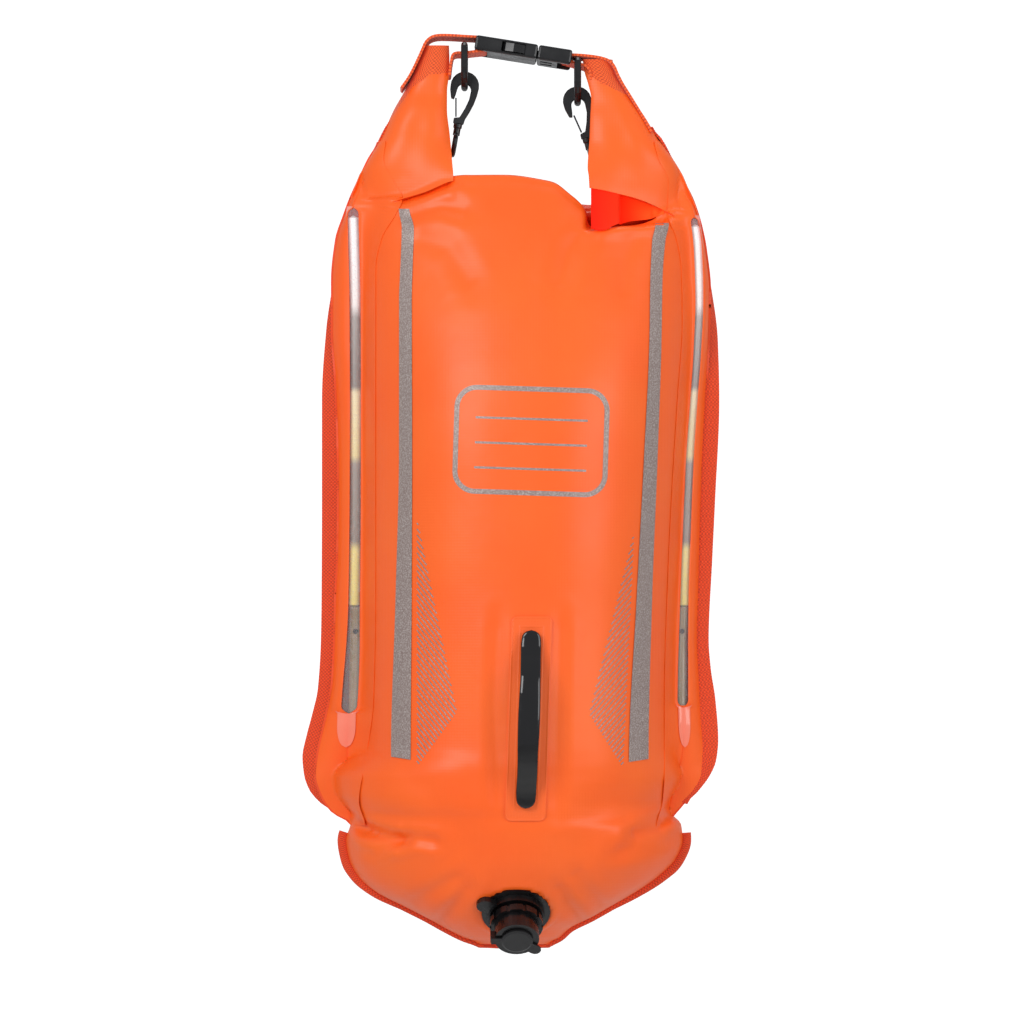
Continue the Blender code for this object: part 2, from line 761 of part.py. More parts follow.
def make_lamp(label, table, side):
    """Light tube, its top cap, the lamp module below it with its cell and push button."""
    z_share = 1 / bag_height
    cap_bottom = tube_top_share + tube_cap_length * z_share
    tube_end = tube_end_share + lamp_plug_depth * z_share
    shell_tube("tube_cap_" + label, table, side, tube_top_share, cap_bottom,
                          tube_radius + lamp_wall / 2, 0, orange_webbing, 0)
    shell_tube("light_tube_" + label, table, side, cap_bottom + seat_gap * z_share,
                       tube_end - seat_gap * z_share, lamp_radius - lamp_wall - seat_gap, 0,
                       light_plastic, 0)
    module = shell_tube("lamp_module_" + label, table, side, tube_end_share, lamp_end_share,
                        lamp_radius, lamp_wall, black_plastic, lamp_wall * 2)
    cell_last = lamp_end_share - (lamp_wall * 2 + seat_gap) * z_share
    cell_first = cell_last - cell_length * z_share
    shell_tube("lamp_cell_" + label, table, side, cell_first, cell_last,
                      cell_radius, 0, cell_steel, 0)
    button_share = tube_end_share + lamp_button_drop * z_share
    centre = tube_place(table, side, button_share)
    along = tube_direction(table, side, button_share)
    over = Vector((0, -1, 0)).cross(along).normalized()
    forward = along.cross(over).normalized()
    if forward.y > 0:
        forward = -forward
    axes = Matrix((over, forward.cross(over), forward)).transposed().to_4x4()
    frame = make_frame("button_frame_" + label, Matrix.Translation(centre) @ axes)
    top = lamp_radius - lamp_button_recess
    button = turned("lamp_button_" + label,
                    ((0, top), (lamp_button_radius - seat_gap, top),
                     (lamp_button_radius - seat_gap, top - lamp_button_height),
                     (0, top - lamp_button_height)), soft_rubber, frame, steps=14)
    hole = turned("lamp_button_hole_" + label,
                  ((0, lamp_radius + cut_overrun), (lamp_button_radius, lamp_radius + cut_overrun),
                   (lamp_button_radius, 0), (0, 0)), None, frame, steps=14, collection=cutters)
    boolean(module, hole)
    return button


for label, table, side in (("left", left_tube_shares, -1), ("right", right_tube_shares, 1)):
    make_lamp(label, table, side)
    make_sleeve("sleeve_" + label, table, side)


# Grab handle on its welded patch
def front_place(height, place, lift):
    """Point on the front chamber's face, lifted along its outward direction."""
    across = across_of(height, place)
    return chamber_point(-1, height, across) + chamber_normal(-1, height, across) * lift


patch_rows = 11
patch_columns = 5
handle_lean_share = 0.032


def make_patch():
    """A thin welded panel that follows the chamber's face."""
    rows = []
    lift = 2.5 * seat_gap + patch_thickness / 2
    for i in range(patch_rows):
        down = i / (patch_rows - 1)
        height = handle_top_share + down * patch_length / bag_height
        middle = handle_side_share + handle_lean_share * (1 - down)
        row = []
        for j in range(patch_columns):
            reach = (j / (patch_columns - 1) - 0.5) * patch_width / bag_half_width
            row.append(front_place(height, middle + reach, lift))
        rows.append(row)
    return sheet("handle_patch", rows, bag_fabric, patch_thickness)


handle_stations_shares = ((0.00, 0.0, 0.62), (0.05, 0.0, 0.92), (0.13, 0.05, 1.0), (0.19, 0.55, 1.0),
                          (0.26, 0.92, 1.0), (0.38, 1.0, 1.04), (0.50, 1.0, 1.08),
                          (0.62, 1.0, 1.04), (0.74, 0.92, 1.0), (0.81, 0.55, 1.0),
                          (0.87, 0.05, 1.0), (0.95, 0.0, 0.92), (1.00, 0.0, 0.62))


def make_handle():
    """Moulded handle: two flat feet and a raised grip, as a loft of rounded sections."""
    rings = []
    margin = (patch_length - handle_length) / 2
    foot = seat_gap * 4 + patch_thickness + handle_thickness / 2
    stations = []
    for down, rise, width_share in handle_stations_shares:
        height = handle_top_share + (margin + down * handle_length) / bag_height
        middle = handle_side_share + handle_lean_share * (1 - down) * 0.9
        stations.append((front_place(height, middle, foot + rise * handle_rise), width_share))
    for i, (point, width_share) in enumerate(stations):
        before = stations[max(i - 1, 0)][0]
        after = stations[min(i + 1, len(stations) - 1)][0]
        along = (after - before).normalized()
        over = Vector((1, 0, 0))
        facing = along.cross(over).normalized()
        over = facing.cross(along).normalized()
        outline = rounded_rectangle(handle_width * width_share, handle_thickness,
                                    handle_thickness * 0.36, 3)
        rings.append([point + over * x + facing * y for x, y in outline])
    return loft("grab_handle", rings, gloss_black)


make_patch()
make_handle()


# Inflation valve, in its own axes with Z outward from its seat
def make_valve():
    """Welded base, screw-in insert with its flap and seal, and the stopper on its hinge strap."""
    collar_top = valve_collar_height
    grip_bottom = collar_top + 2 * (seal_wire_radius + seat_gap)
    grip_top = grip_bottom + grip_height
    mouth_top = grip_top + barrel_height
    base = turned("valve_base", ((valve_bore_radius, collar_top), (valve_collar_radius, collar_top),
                                 (valve_collar_radius, valve_flange_thickness + seat_gap),
                                 (valve_flange_radius, valve_flange_thickness),
                                 (valve_flange_radius, seat_gap), (valve_bore_radius, seat_gap)),
                  black_plastic, valve_frame, steps=32, closed=True)
    reach = valve_flange_radius + valve_lug_reach
    lug_outline = [(x, y) for x, y in arc((reach - valve_lug_half_width, 0), valve_lug_half_width,
                                          -90, 90, 7)]
    lug_outline += [(valve_bore_radius + insert_wall, valve_lug_half_width),
                    (valve_bore_radius + insert_wall, -valve_lug_half_width)]
    lug_height = collar_top - valve_flange_thickness
    lug_matrix = (Matrix.Rotation(valve_lug_angle, 4, "Z")
                  @ Matrix.Translation((0, 0, valve_flange_thickness / 2 + lug_height / 2)))
    lug = outline_plate("valve_lug", lug_outline, lug_height, None, valve_frame, lug_matrix,
                        collection=cutters)
    boolean(base, lug, "UNION")
    lug_room = outline_plate("valve_lug_room",
                             [(x + math.copysign(seat_gap, x), y * 1.06) for x, y in lug_outline],
                             cut_overrun, None, valve_frame,
                             Matrix.Rotation(valve_lug_angle, 4, "Z")
                             @ Matrix.Translation((0, 0, cut_overrun / 2)), collection=cutters)
    boolean(front_chamber, lug_room)
    ceiling = grip_bottom - insert_wall
    insert = turned("valve_insert",
                    ((mouth_bore_radius, mouth_top), (barrel_radius, mouth_top),
                     (barrel_radius, grip_top), (grip_radius, grip_top),
                     (grip_radius, grip_bottom), (insert_skirt_radius, grip_bottom),
                     (insert_skirt_radius, collar_top - insert_skirt_length),
                     (insert_skirt_radius - insert_wall, collar_top - insert_skirt_length),
                     (insert_skirt_radius - insert_wall, ceiling), (mouth_bore_radius, ceiling)),
                    black_plastic, valve_frame, steps=32, closed=True)
    notch = block("grip_notch", (grip_radius, insert_wall * 1.4, grip_height * 2),
                  (grip_radius * 1.44, 0, grip_bottom + grip_height), None, valve_frame, cutters)
    row = notch.modifiers.new("ring", "ARRAY")
    row.count = 10
    row.use_relative_offset = False
    row.use_object_offset = True
    turner = bpy.data.objects.new("grip_step", None)
    cutters.objects.link(turner)
    turner.parent = valve_frame
    turner.rotation_euler = (0, 0, math.tau / row.count)
    row.offset_object = turner
    boolean(insert, notch)
    seal_radius = insert_skirt_radius + 2 * seal_wire_radius
    seal_height = collar_top + seat_gap + seal_wire_radius
    ring = arc((seal_radius, seal_height), seal_wire_radius, 90, -270, 9)[:-1]
    turned("valve_seal", ring, soft_rubber, valve_frame, steps=28, closed=True)
    flap_top = ceiling - seat_gap
    turned("valve_flap", ((0, flap_top), (flap_radius, flap_top),
                          (flap_radius, flap_top - flap_thickness), (0, flap_top - flap_thickness)),
           soft_rubber, valve_frame, steps=24)
    cap_bottom = mouth_top + seat_gap
    cap_top = cap_bottom + cap_thickness
    cap = turned("valve_stopper",
                 ((0, cap_top), (cap_radius * 0.86, cap_top), (cap_radius, cap_top - cap_thickness / 3),
                  (cap_radius, cap_bottom), (plug_radius, cap_bottom),
                  (plug_radius, cap_bottom - plug_depth / 2), (plug_tip_radius, mouth_top - plug_depth),
                  (0, mouth_top - plug_depth)), soft_rubber, valve_frame, steps=28)
    strap_thick = cap_thickness / 2
    arm_height = cap_bottom + strap_thick / 2
    arm = block("stopper_arm", (cap_hinge_offset, cap_tab_width * 0.7, strap_thick),
                (-cap_hinge_offset / 2, 0, arm_height), None, valve_frame, cutters)
    boolean(cap, arm, "UNION")
    tab_outline = [(0, cap_tab_width / 2), (0, -cap_tab_width / 2)]
    tab_outline += arc((cap_tab_reach - cap_tab_width / 2, 0), cap_tab_width / 2, -90, 90, 7)
    tab_turn = Matrix.Rotation(math.radians(-38), 4, "Z")
    tab = outline_plate("stopper_tab", tab_outline, strap_thick, None, valve_frame,
                        tab_turn @ Matrix.Translation((0, 0, arm_height)), collection=cutters)
    boolean(cap, tab, "UNION")
    post_gap = 2 * seat_gap
    post_x = -(barrel_radius + post_gap / 2 + cap_hinge_offset) / 2
    anchor = block("stopper_anchor",
                   (cap_hinge_offset - barrel_radius + post_gap, cap_tab_width * 0.7, barrel_height / 2),
                   (post_x, 0, mouth_top - barrel_height / 4), None, valve_frame, cutters)
    boolean(insert, anchor, "UNION")
    return collar_top, mouth_top


valve_collar_top, valve_mouth_top = make_valve()


# Buckle, in its own axes with X along the closure and Z up from its underside
loop_matrix = Matrix.Rotation(loop_tilt, 4, "Y") @ Matrix.Rotation(-loop_roll, 4, "X")
buckle_frame = make_frame("buckle_frame", loop_matrix)
buckle_half = buckle_length / 2
bar_x = buckle_half - bar_inset
bar_z = buckle_thickness / 2
bar_room = bar_radius + 2 * seat_gap + closure_webbing_thickness + seat_gap
bay_half_width = closure_webbing_width / 2 + 2 * seat_gap
join_x = -buckle_half + socket_length
lip_x = join_x + buckle_join_gap
cavity_half_width = buckle_width / 2 - buckle_wall
cavity_depth = prong_length + prong_room
window_rear_x = join_x - window_inset
window_front_x = window_rear_x - prong_press_length


def buckle_bar(name, x, body):
    """Round bar that the webbing passes round, joined to the buckle's arms."""
    bar = turned(name, ((0, bay_half_width + buckle_wall), (bar_radius, bay_half_width + buckle_wall),
                        (bar_radius, -bay_half_width - buckle_wall),
                        (0, -bay_half_width - buckle_wall)), None, buckle_frame,
                 Matrix.Translation((x, 0, bar_z)) @ Matrix.Rotation(math.radians(90), 4, "X"),
                 steps=14, collection=cutters)
    boolean(body, bar, "UNION")


def webbing_bay(name, side, body):
    """Open bay at a buckle half's end, for the webbing round its bar."""
    inner = bar_x - bar_room
    size = (buckle_half - inner + cut_overrun, 2 * bay_half_width, buckle_thickness + cut_overrun)
    centre = (side * (inner + size[0] / 2), 0, bar_z)
    boolean(body, block(name, size, centre, None, buckle_frame, cutters))


def make_socket():
    """Hollow half of the buckle, with side windows for the prongs."""
    socket = block("buckle_socket", (socket_length, buckle_width, buckle_thickness),
                   (-buckle_half + socket_length / 2, 0, bar_z), black_plastic, buckle_frame,
                   rounding=buckle_rounding)
    cavity_size = (cavity_depth + cut_overrun, 2 * cavity_half_width,
                   buckle_thickness - 2 * buckle_wall)
    cavity = block("socket_cavity", cavity_size,
                   (join_x - cavity_depth + cavity_size[0] / 2, 0, bar_z), None, buckle_frame, cutters)
    boolean(socket, cavity)
    window = block("socket_windows", (prong_press_length, buckle_width + cut_overrun,
                                      prong_height + 2 * seat_gap + buckle_wall / 2),
                   ((window_rear_x + window_front_x) / 2, 0, bar_z), None, buckle_frame, cutters)
    boolean(socket, window)
    webbing_bay("socket_bay", -1, socket)
    buckle_bar("socket_bar", -bar_x, socket)
    return socket


def make_plug():
    """Solid half of the buckle, with its guide rib and ladder slots."""
    base_length = buckle_half - lip_x
    plug = block("buckle_plug", (base_length, buckle_width, buckle_thickness),
                 (lip_x + base_length / 2, 0, bar_z), black_plastic, buckle_frame, rounding=buckle_rounding)
    guide = block("plug_guide", (guide_length + buckle_wall, guide_width, prong_height),
                  (lip_x + buckle_wall - (guide_length + buckle_wall) / 2, 0, bar_z),
                  None, buckle_frame, cutters)
    boolean(plug, guide, "UNION")
    webbing_bay("plug_bay", 1, plug)
    buckle_bar("plug_bar", bar_x, plug)
    for side in (-1, 1):
        slot = block("plug_slot", (slot_length, slot_width, buckle_thickness + cut_overrun),
                     (lip_x + slot_length / 2 + buckle_wall * 1.5, side * slot_width * 1.1, bar_z),
                     None, buckle_frame, cutters)
        boolean(plug, slot)
    return plug


prong_root_x = lip_x - seat_gap - prong_thickness / 2
prong_root_y = cavity_half_width - prong_thickness / 2 - 2 * seat_gap


def make_prong(name, side):
    """Squeeze prong: round root, arm, shouldered press face and tapered nose."""
    arm_out = cavity_half_width - 2 * seat_gap
    arm_in = arm_out - prong_thickness
    face = buckle_width / 2 + prong_bulge * 0.4
    rear = window_rear_x - seat_gap * 2
    front = window_front_x + seat_gap * 2
    tip = prong_root_x - prong_length + prong_thickness
    outline = arc((prong_root_x, prong_root_y), prong_thickness / 2, -90, 90, 7)
    outline += [(rear, arm_out), (rear, face), ((rear + front) / 2, face + prong_bulge * 0.5),
                (front + prong_bulge, face * 0.97), (front, arm_out * 0.99),
                (tip, arm_in + prong_thickness * 0.35), (tip, arm_in - prong_thickness * 0.25),
                (front + prong_bulge, arm_in - prong_thickness * 0.1), (rear, arm_in)]
    outline = [(x, side * y) for x, y in outline]
    if side < 0:
        outline = outline[::-1]
    outline_plate(name, outline, prong_height, black_plastic, buckle_frame,
                  Matrix.Translation((0, 0, bar_z)))


make_socket()
make_plug()
make_prong("prong_front", -1)
make_prong("prong_rear", 1)


# Closure webbings: each loops round its buckle bar and grips the upstanding end
def webbing_route(over_shares, under_shares, side):
    """Centre line of a closure webbing, over, round the bar and back under."""
    radius = bar_radius + 2 * seat_gap + closure_webbing_thickness / 2
    route = [(x * buckle_length, z * buckle_length) for x, z in over_shares]
    if side < 0:
        route += arc((-bar_x, bar_z), radius, 90, -90, 9)
    else:
        route += arc((bar_x, bar_z), radius, 90, 270, 9)
    route += [(x * buckle_length, z * buckle_length) for x, z in under_shares]
    return route


def make_closure_webbing(name, over_shares, under_shares, side):
    """A strap as wide as its buckle's bay."""
    half = closure_webbing_width / 2
    rows = [[Vector((x, -half, z)), Vector((x, half, z))]
            for x, z in webbing_route(over_shares, under_shares, side)]
    return sheet(name, rows, orange_webbing, closure_webbing_thickness, buckle_frame)


make_closure_webbing("closure_webbing_left", left_over_shares, left_under_shares, -1)
make_closure_webbing("closure_webbing_right", right_over_shares, right_under_shares, 1)


# D-rings, whose straight side lies on the lower webbing
def wire_mesh(name, points, radius, resolution, cyclic):
    """Mesh of a round wire along points, with welded caps."""
    curve = bpy.data.curves.new(name, "CURVE")
    curve.dimensions = "3D"
    curve.bevel_depth = radius
    curve.bevel_resolution = resolution
    curve.use_fill_caps = not cyclic
    spline = curve.splines.new("POLY")
    spline.points.add(len(points) - 1)
    for point, place in zip(spline.points, points):
        point.co = (*place, 1.0)
    spline.use_cyclic_u = cyclic
    drawn = bpy.data.objects.new(name + "_drawn", curve)
    cutters.objects.link(drawn)
    bpy.context.view_layer.update()
    evaluated = drawn.evaluated_get(bpy.context.evaluated_depsgraph_get())
    mesh = bpy.data.meshes.new_from_object(evaluated)
    bpy.data.objects.remove(drawn, do_unlink=True)
    bm = bmesh.new()
    bm.from_mesh(mesh)
    bmesh.ops.remove_doubles(bm, verts=bm.verts[:], dist=weld_distance)
    return mesh_of(bm, name)


def ring_bar_place(under_shares, share):
    """Centre of a D-ring's straight side, in the buckle's axes."""
    lower = at_share(under_shares, share, 1) * buckle_length
    return Vector((share * buckle_length, 0,
                   lower + closure_webbing_thickness / 2 + 2 * seat_gap + ring_wire_radius))


def make_ring(name, under_shares, share):
    """A D-ring hanging from the lower webbing."""
    place = loop_matrix @ ring_bar_place(under_shares, share)
    frame = make_frame(name + "_frame", Matrix.Translation(place)
                       @ Matrix.Rotation(-loop_roll, 4, "X"))
    half = ring_inner_width / 2 + ring_wire_radius
    corner = ring_wire_radius * 1.3
    outline = arc((half - corner, -corner), corner, 90, 0, 4)
    outline += arc((0, -ring_drop + half), half, 0, -180, 15)
    outline += arc((-half + corner, -corner), corner, 180, 90, 4)
    mesh = wire_mesh(name, [(0, y, z) for y, z in outline], ring_wire_radius, 3, True)
    ring = smooth(add_object(name, mesh, black_plastic, frame))
    return ring, frame


d_ring_left, ring_frame_left = make_ring("d_ring_left", left_under_shares, left_ring_share)
d_ring_right, ring_frame_right = make_ring("d_ring_right", right_under_shares, right_ring_share)


# Snap hooks, in their own axes: the ring's wire is the origin and Z points up the hook
def hook_outline():
    """Hook body in X and Z: bent top, tip on the left, spine on the right, collar below."""
    top = hook_top_radius
    bend = hook_bend_radius
    crown = ring_wire_radius + 2 * seat_gap
    low = -hook_length
    collar = hook_collar_half_width
    outer = [(-0.81 * top, -0.86 * top), (-0.97 * top, -0.28 * top)]
    outer += arc((0, hook_top_rise), top, 188, 0, 12)
    outer += [(0.96 * top, -0.40 * top), (0.84 * top, 0.40 * low), (0.64 * top, 0.64 * low),
              (0.42 * top, 0.85 * low), (collar, low), (-collar, low), (-collar, 0.86 * low),
              (0.02 * top, 0.82 * low), (0.28 * top, 0.56 * low), (0.46 * top, 0.31 * low)]
    inner = arc((0, crown - bend), bend, 0, 180, 9)
    return outer + inner + [(-1.08 * bend, -1.15 * bend), (-1.22 * bend, -1.88 * bend)]


gate_foot = Vector((-0.50 * hook_bend_radius, 0, -0.81 * hook_length))
gate_head = Vector((-0.965 * hook_bend_radius, 0, -0.312 * hook_length))


def make_hook(label, ring_frame, lean):
    """One snap hook with its sprung gate and its swivel eye."""
    frame = make_frame("hook_frame_" + label, ring_frame.matrix_world
                       @ Matrix.Translation((0, 0, -ring_drop)) @ Matrix.Rotation(lean, 4, "Y"))
    hook = outline_plate("hook_body_" + label, hook_outline(), hook_thickness, black_plastic,
                         frame, upright)
    add_bevel(hook, hook_thickness * 0.2, 1)
    span = gate_head - gate_foot
    angle = math.atan2(span.x, span.z)
    gate_matrix = (Matrix.Translation((gate_foot + gate_head) / 2)
                   @ Matrix.Rotation(angle, 4, "Y"))
    gate = block("hook_gate_" + label, (gate_thickness, gate_width, span.length), (0, 0, 0),
                 black_plastic, frame)
    gate.matrix_local = gate_matrix
    neck_top = -hook_length - seat_gap
    eye_top = neck_top - neck_length
    eye = turned("hook_eye_" + label,
                 ((0, neck_top), (neck_radius * 1.25, neck_top),
                  (neck_radius * 1.25, neck_top - neck_radius), (neck_radius, neck_top - neck_radius * 1.3),
                  (neck_radius, eye_top - eye_wire_radius), (0, eye_top - eye_wire_radius)),
                 black_plastic, frame, steps=14)
    centre_z = eye_top - eye_height / 2 - eye_wire_radius / 2
    points = []
    for i in range(16):
        turn = math.tau * i / 16
        squash = 1.0 if math.sin(turn) > 0 else 0.9
        points.append((0, eye_half_width * math.cos(turn) * squash,
                       centre_z + eye_height / 2 * math.sin(turn)))
    loop = add_object("eye_loop_" + label, wire_mesh("eye_loop", points, eye_wire_radius, 2, True),
                      None, frame, cutters)
    boolean(eye, loop, "UNION")
    return frame


make_hook("left", ring_frame_left, left_hook_lean)
make_hook("right", ring_frame_right, right_hook_lean)
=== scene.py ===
# %% [markdown]
# An open water swim buoy is a long flat air bag welded from coated nylon, with a dry compartment
# between its two air cells. Its top is rolled over, and a buckle joins the ends of the roll to a
# carry loop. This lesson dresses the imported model: the soft pieces are shaped again with more
# detail, and the moulded ones keep their shape and get a finish.

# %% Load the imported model
import math

import bmesh
import bpy
from mathutils import Matrix, Vector, kdtree, noise
from mathutils.bvhtree import BVHTree


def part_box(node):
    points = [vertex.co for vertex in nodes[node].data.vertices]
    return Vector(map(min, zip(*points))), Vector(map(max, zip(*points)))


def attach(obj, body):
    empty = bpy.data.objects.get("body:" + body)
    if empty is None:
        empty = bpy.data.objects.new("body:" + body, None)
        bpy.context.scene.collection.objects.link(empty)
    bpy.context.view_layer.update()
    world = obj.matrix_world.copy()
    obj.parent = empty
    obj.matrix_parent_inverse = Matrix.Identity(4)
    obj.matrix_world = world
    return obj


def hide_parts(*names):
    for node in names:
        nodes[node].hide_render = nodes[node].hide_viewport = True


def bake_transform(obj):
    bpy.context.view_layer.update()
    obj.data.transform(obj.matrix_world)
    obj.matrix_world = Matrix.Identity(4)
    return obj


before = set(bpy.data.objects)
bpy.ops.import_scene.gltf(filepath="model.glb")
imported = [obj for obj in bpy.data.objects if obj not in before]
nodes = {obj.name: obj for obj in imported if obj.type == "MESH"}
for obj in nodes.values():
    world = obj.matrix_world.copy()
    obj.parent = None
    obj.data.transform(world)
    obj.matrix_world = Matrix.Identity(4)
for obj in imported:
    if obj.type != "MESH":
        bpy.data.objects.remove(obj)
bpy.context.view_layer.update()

# %% [markdown]
# The photograph was taken straight from the front with a long lens, so the camera stands six
# metres away at the height of the bag's middle. Rays through the picture's pixels then find the
# places on the bag where its prints lie.

# %% Set up the camera
picture_size = 1024
pixel_size = 0.00075
zero_pixel = (522, 60)
camera_distance = 6.0
picture_centre = Vector(((picture_size / 2 - zero_pixel[0]) * pixel_size, 0,
                         (zero_pixel[1] - picture_size / 2) * pixel_size))
camera_data = bpy.data.cameras.new("front camera")
camera_data.sensor_width = 36
camera_data.lens = camera_data.sensor_width * camera_distance / (picture_size * pixel_size)
camera_data.clip_end = 60
camera = bpy.data.objects.new("front camera", camera_data)
camera.location = picture_centre + Vector((0, -camera_distance, 0))
camera.rotation_euler = (math.radians(90), 0, 0)
bpy.context.scene.collection.objects.link(camera)
bpy.context.scene.camera = camera
print("lens", round(camera_data.lens), "mm")


def in_plane(across, down):
    """World point in the plane of the seam for a pixel of the photograph."""
    return Vector(((across - zero_pixel[0]) * pixel_size, 0,
                   (zero_pixel[1] - down) * pixel_size))


def pixel_of(point):
    """Pixel of the photograph for a world point, read in the plane of the seam."""
    return Vector((point.x / pixel_size + zero_pixel[0], zero_pixel[1] - point.z / pixel_size))


def unit(value):
    """A value held between 0 and 1."""
    return max(0.0, min(1.0, value))


# %% [markdown]
# Colours are written as sRGB hex values, as a paint chart gives them, and one function turns
# them to the linear values that the shader wants. A few small functions add shader nodes, so
# that each finish reads as a short recipe.

# %% Colour and node helpers
def linear(code):
    """Linear RGBA of an sRGB hex colour."""
    values = [int(code[i:i + 2], 16) / 255 for i in (1, 3, 5)]
    return (*((v / 12.92 if v <= 0.04045 else ((v + 0.055) / 1.055) ** 2.4) for v in values), 1.0)


def add_node(material, kind, settings=None, values=None, links=None):
    """Add a shader node, set its properties and sockets, and link its inputs."""
    tree = material.node_tree
    node = tree.nodes.new("ShaderNode" + kind)
    for name, value in (settings or {}).items():
        setattr(node, name, value)
    for name, value in (values or {}).items():
        node.inputs[name].default_value = value
    for name, socket in (links or {}).items():
        tree.links.new(socket, node.inputs[name])
    return node


def new_material(name, colour, roughness, **sockets):
    """A Principled material with a base colour and its other sockets set."""
    material = bpy.data.materials.new(name)
    material.use_nodes = True
    inputs = material.node_tree.nodes["Principled BSDF"].inputs
    inputs["Base Color"].default_value = linear(colour)
    inputs["Roughness"].default_value = roughness
    for socket, value in sockets.items():
        inputs[socket.replace("_", " ")].default_value = value
    return material


def feed(material, **outputs):
    """Join node outputs to sockets of the material's shader."""
    inputs = material.node_tree.nodes["Principled BSDF"].inputs
    for socket, output in outputs.items():
        material.node_tree.links.new(output, inputs[socket.replace("_", " ")])


def object_coordinates(material):
    """Object coordinates, which are the row's own metres on every piece."""
    return add_node(material, "TexCoord").outputs["Object"]


def sums(material, operation, *values):
    """A calculation on numbers and outputs."""
    node = add_node(material, "Math", {"operation": operation})
    for socket, value in zip(node.inputs, values):
        if isinstance(value, float):
            socket.default_value = value
        else:
            material.node_tree.links.new(value, socket)
    return node.outputs[0]


def cloudy(material, place, scale, detail):
    """Noise with about so many waves to the metre."""
    values = {"Scale": scale, "Detail": detail}
    return add_node(material, "TexNoise", {}, values, {"Vector": place}).outputs["Fac"]


def bump(material, height, strength, distance, **under):
    """Bump of a height, laid over another bump where Normal is given."""
    values = {"Strength": strength, "Distance": distance}
    return add_node(material, "Bump", {}, values, {"Height": height, **under}).outputs["Normal"]


def spread(material, value, low, high, first, last):
    """A value carried from one range to another."""
    values = {"From Min": low, "From Max": high, "To Min": first, "To Max": last}
    return add_node(material, "MapRange", {}, values, {"Value": value}).outputs["Result"]


def ramp(material, factor, *stops):
    """Colours over a factor, from pairs of place and hex colour."""
    node = add_node(material, "ValToRGB", links={"Fac": factor})
    elements = node.color_ramp.elements
    while len(elements) < len(stops):
        elements.new(0.5)
    for element, (place, colour) in zip(elements, stops):
        element.position = place
        element.color = linear(colour)
    return node.outputs["Color"]


def graded(material, axis, first, last, *stops):
    """Let a material's own and glowing colour change between two places on an axis."""
    split = add_node(material, "SeparateXYZ", links={"Vector": object_coordinates(material)})
    colours = ramp(material, spread(material, split.outputs[axis], first, last, 0.0, 1.0), *stops)
    feed(material, Base_Color=colours, Emission_Color=colours)
    return material


# %% [markdown]
# The bag is TPU-coated nylon. The coating is cast smooth over a fine plain weave, so the cloth is
# bright and even, shines softly, and shows the weave only as a faint grain in the highlights.

# %% Coated orange nylon
def coated_nylon(name, colour, shade_colour, roughness):
    """Thermoplastic coating over a woven nylon cloth."""
    material = new_material(name, colour, roughness, IOR=1.42, Coat_Weight=0.05, Coat_Roughness=0.22)
    place = object_coordinates(material)
    thread_spacing = 0.0011
    threads = [add_node(material, "TexWave", {"bands_direction": axis},
                        {"Scale": 0.05 / thread_spacing * math.pi, "Distortion": 0.4},
                        {"Vector": place}).outputs["Fac"] for axis in "XZ"]
    cloth = bump(material, sums(material, "ADD", *threads), 0.12, 0.0002)
    waves = cloudy(material, place, 26.0, 3.0)
    patches = cloudy(material, place, 9.0, 4.0)
    feed(material, Normal=bump(material, waves, 0.25, 0.0025, Normal=cloth),
         Base_Color=ramp(material, patches, (0.3, shade_colour), (0.7, colour)),
         Roughness=spread(material, waves, 0.0, 1.0, roughness - 0.05, roughness + 0.08))
    return material


bag_nylon = coated_nylon("TPU-coated orange nylon", "#FF6B20", "#FF6017", 0.40)
roll_nylon = coated_nylon("rolled orange nylon", "#F8551C", "#F04A14", 0.42)
patch_cloth = coated_nylon("welded orange patch cloth", "#FF6E2C", "#FF6424", 0.36)
print("made", bag_nylon.name)

# %% [markdown]
# Edge binding and straps are woven polypropylene webbing. Its ribs run across the strap every two
# millimetres or so. The ribs are shaped in the mesh, and the material adds the finer twill of the
# yarn, read from the strap's own UV map so that it turns with the strap. The twill's low places
# are painted darker, as painted shade.

# %% Orange webbing
def woven_webbing(name, colour, painted_valley_shade):
    """Ribbed polypropylene webbing; UV is in metres along and across the strap."""
    material = new_material(name, colour, 0.72, IOR=1.49, Sheen_Weight=0.2, Sheen_Roughness=0.5)
    place = add_node(material, "UVMap").outputs["UV"]
    yarn_spacing = 0.0013
    yarn = add_node(material, "TexChecker", {}, {"Scale": 1 / yarn_spacing}, {"Vector": place})
    fuzz = cloudy(material, place, 900.0, 2.0)
    height = sums(material, "MULTIPLY_ADD", yarn.outputs["Fac"], 0.7, fuzz)
    # The low places of the twill take the darker colour: painted shade in the weave's valleys.
    feed(material, Normal=bump(material, height, 0.5, 0.0004),
         Base_Color=ramp(material, height, (0.25, painted_valley_shade), (1.0, colour)))
    return material


edge_weave = woven_webbing("orange polypropylene webbing", "#F24A12", "#B43008")
strap_weave = woven_webbing("orange buckle webbing", "#FF6422", "#B8340A")

# %% [markdown]
# The stripes are screen printed with a retroreflective ink. Glass beads in it make a warm grey
# with a fine sparkle, which shows at this size as a light speckle: the beads' grain together with
# painted sparkle in the ink's colour. The light tubes are coloured in bands from bright at the top
# to grey at the foot, and they glow faintly with painted light.

# %% Reflective ink, films and tubes
grey_ink = new_material("retroreflective grey ink", "#9C8C86", 0.5, Metallic=0.25)
# The ink's speckle is partly the beads' own grain and partly painted sparkle.
bead_grain_and_painted_sparkle = cloudy(grey_ink, object_coordinates(grey_ink), 1100.0, 1.0)
feed(grey_ink, Base_Color=ramp(grey_ink, bead_grain_and_painted_sparkle, (0.35, "#8C7A74"), (0.52, "#9C8C86"),
                               (0.68, "#B8ACA6")))


def clear_film(name, colour, alpha):
    """Cast clear film with a soft ripple."""
    material = new_material(name, colour, 0.12, IOR=1.5, Alpha=alpha)
    ripple = cloudy(material, object_coordinates(material), 60.0, 1.0)
    feed(material, Normal=bump(material, ripple, 0.3, 0.001))
    return material


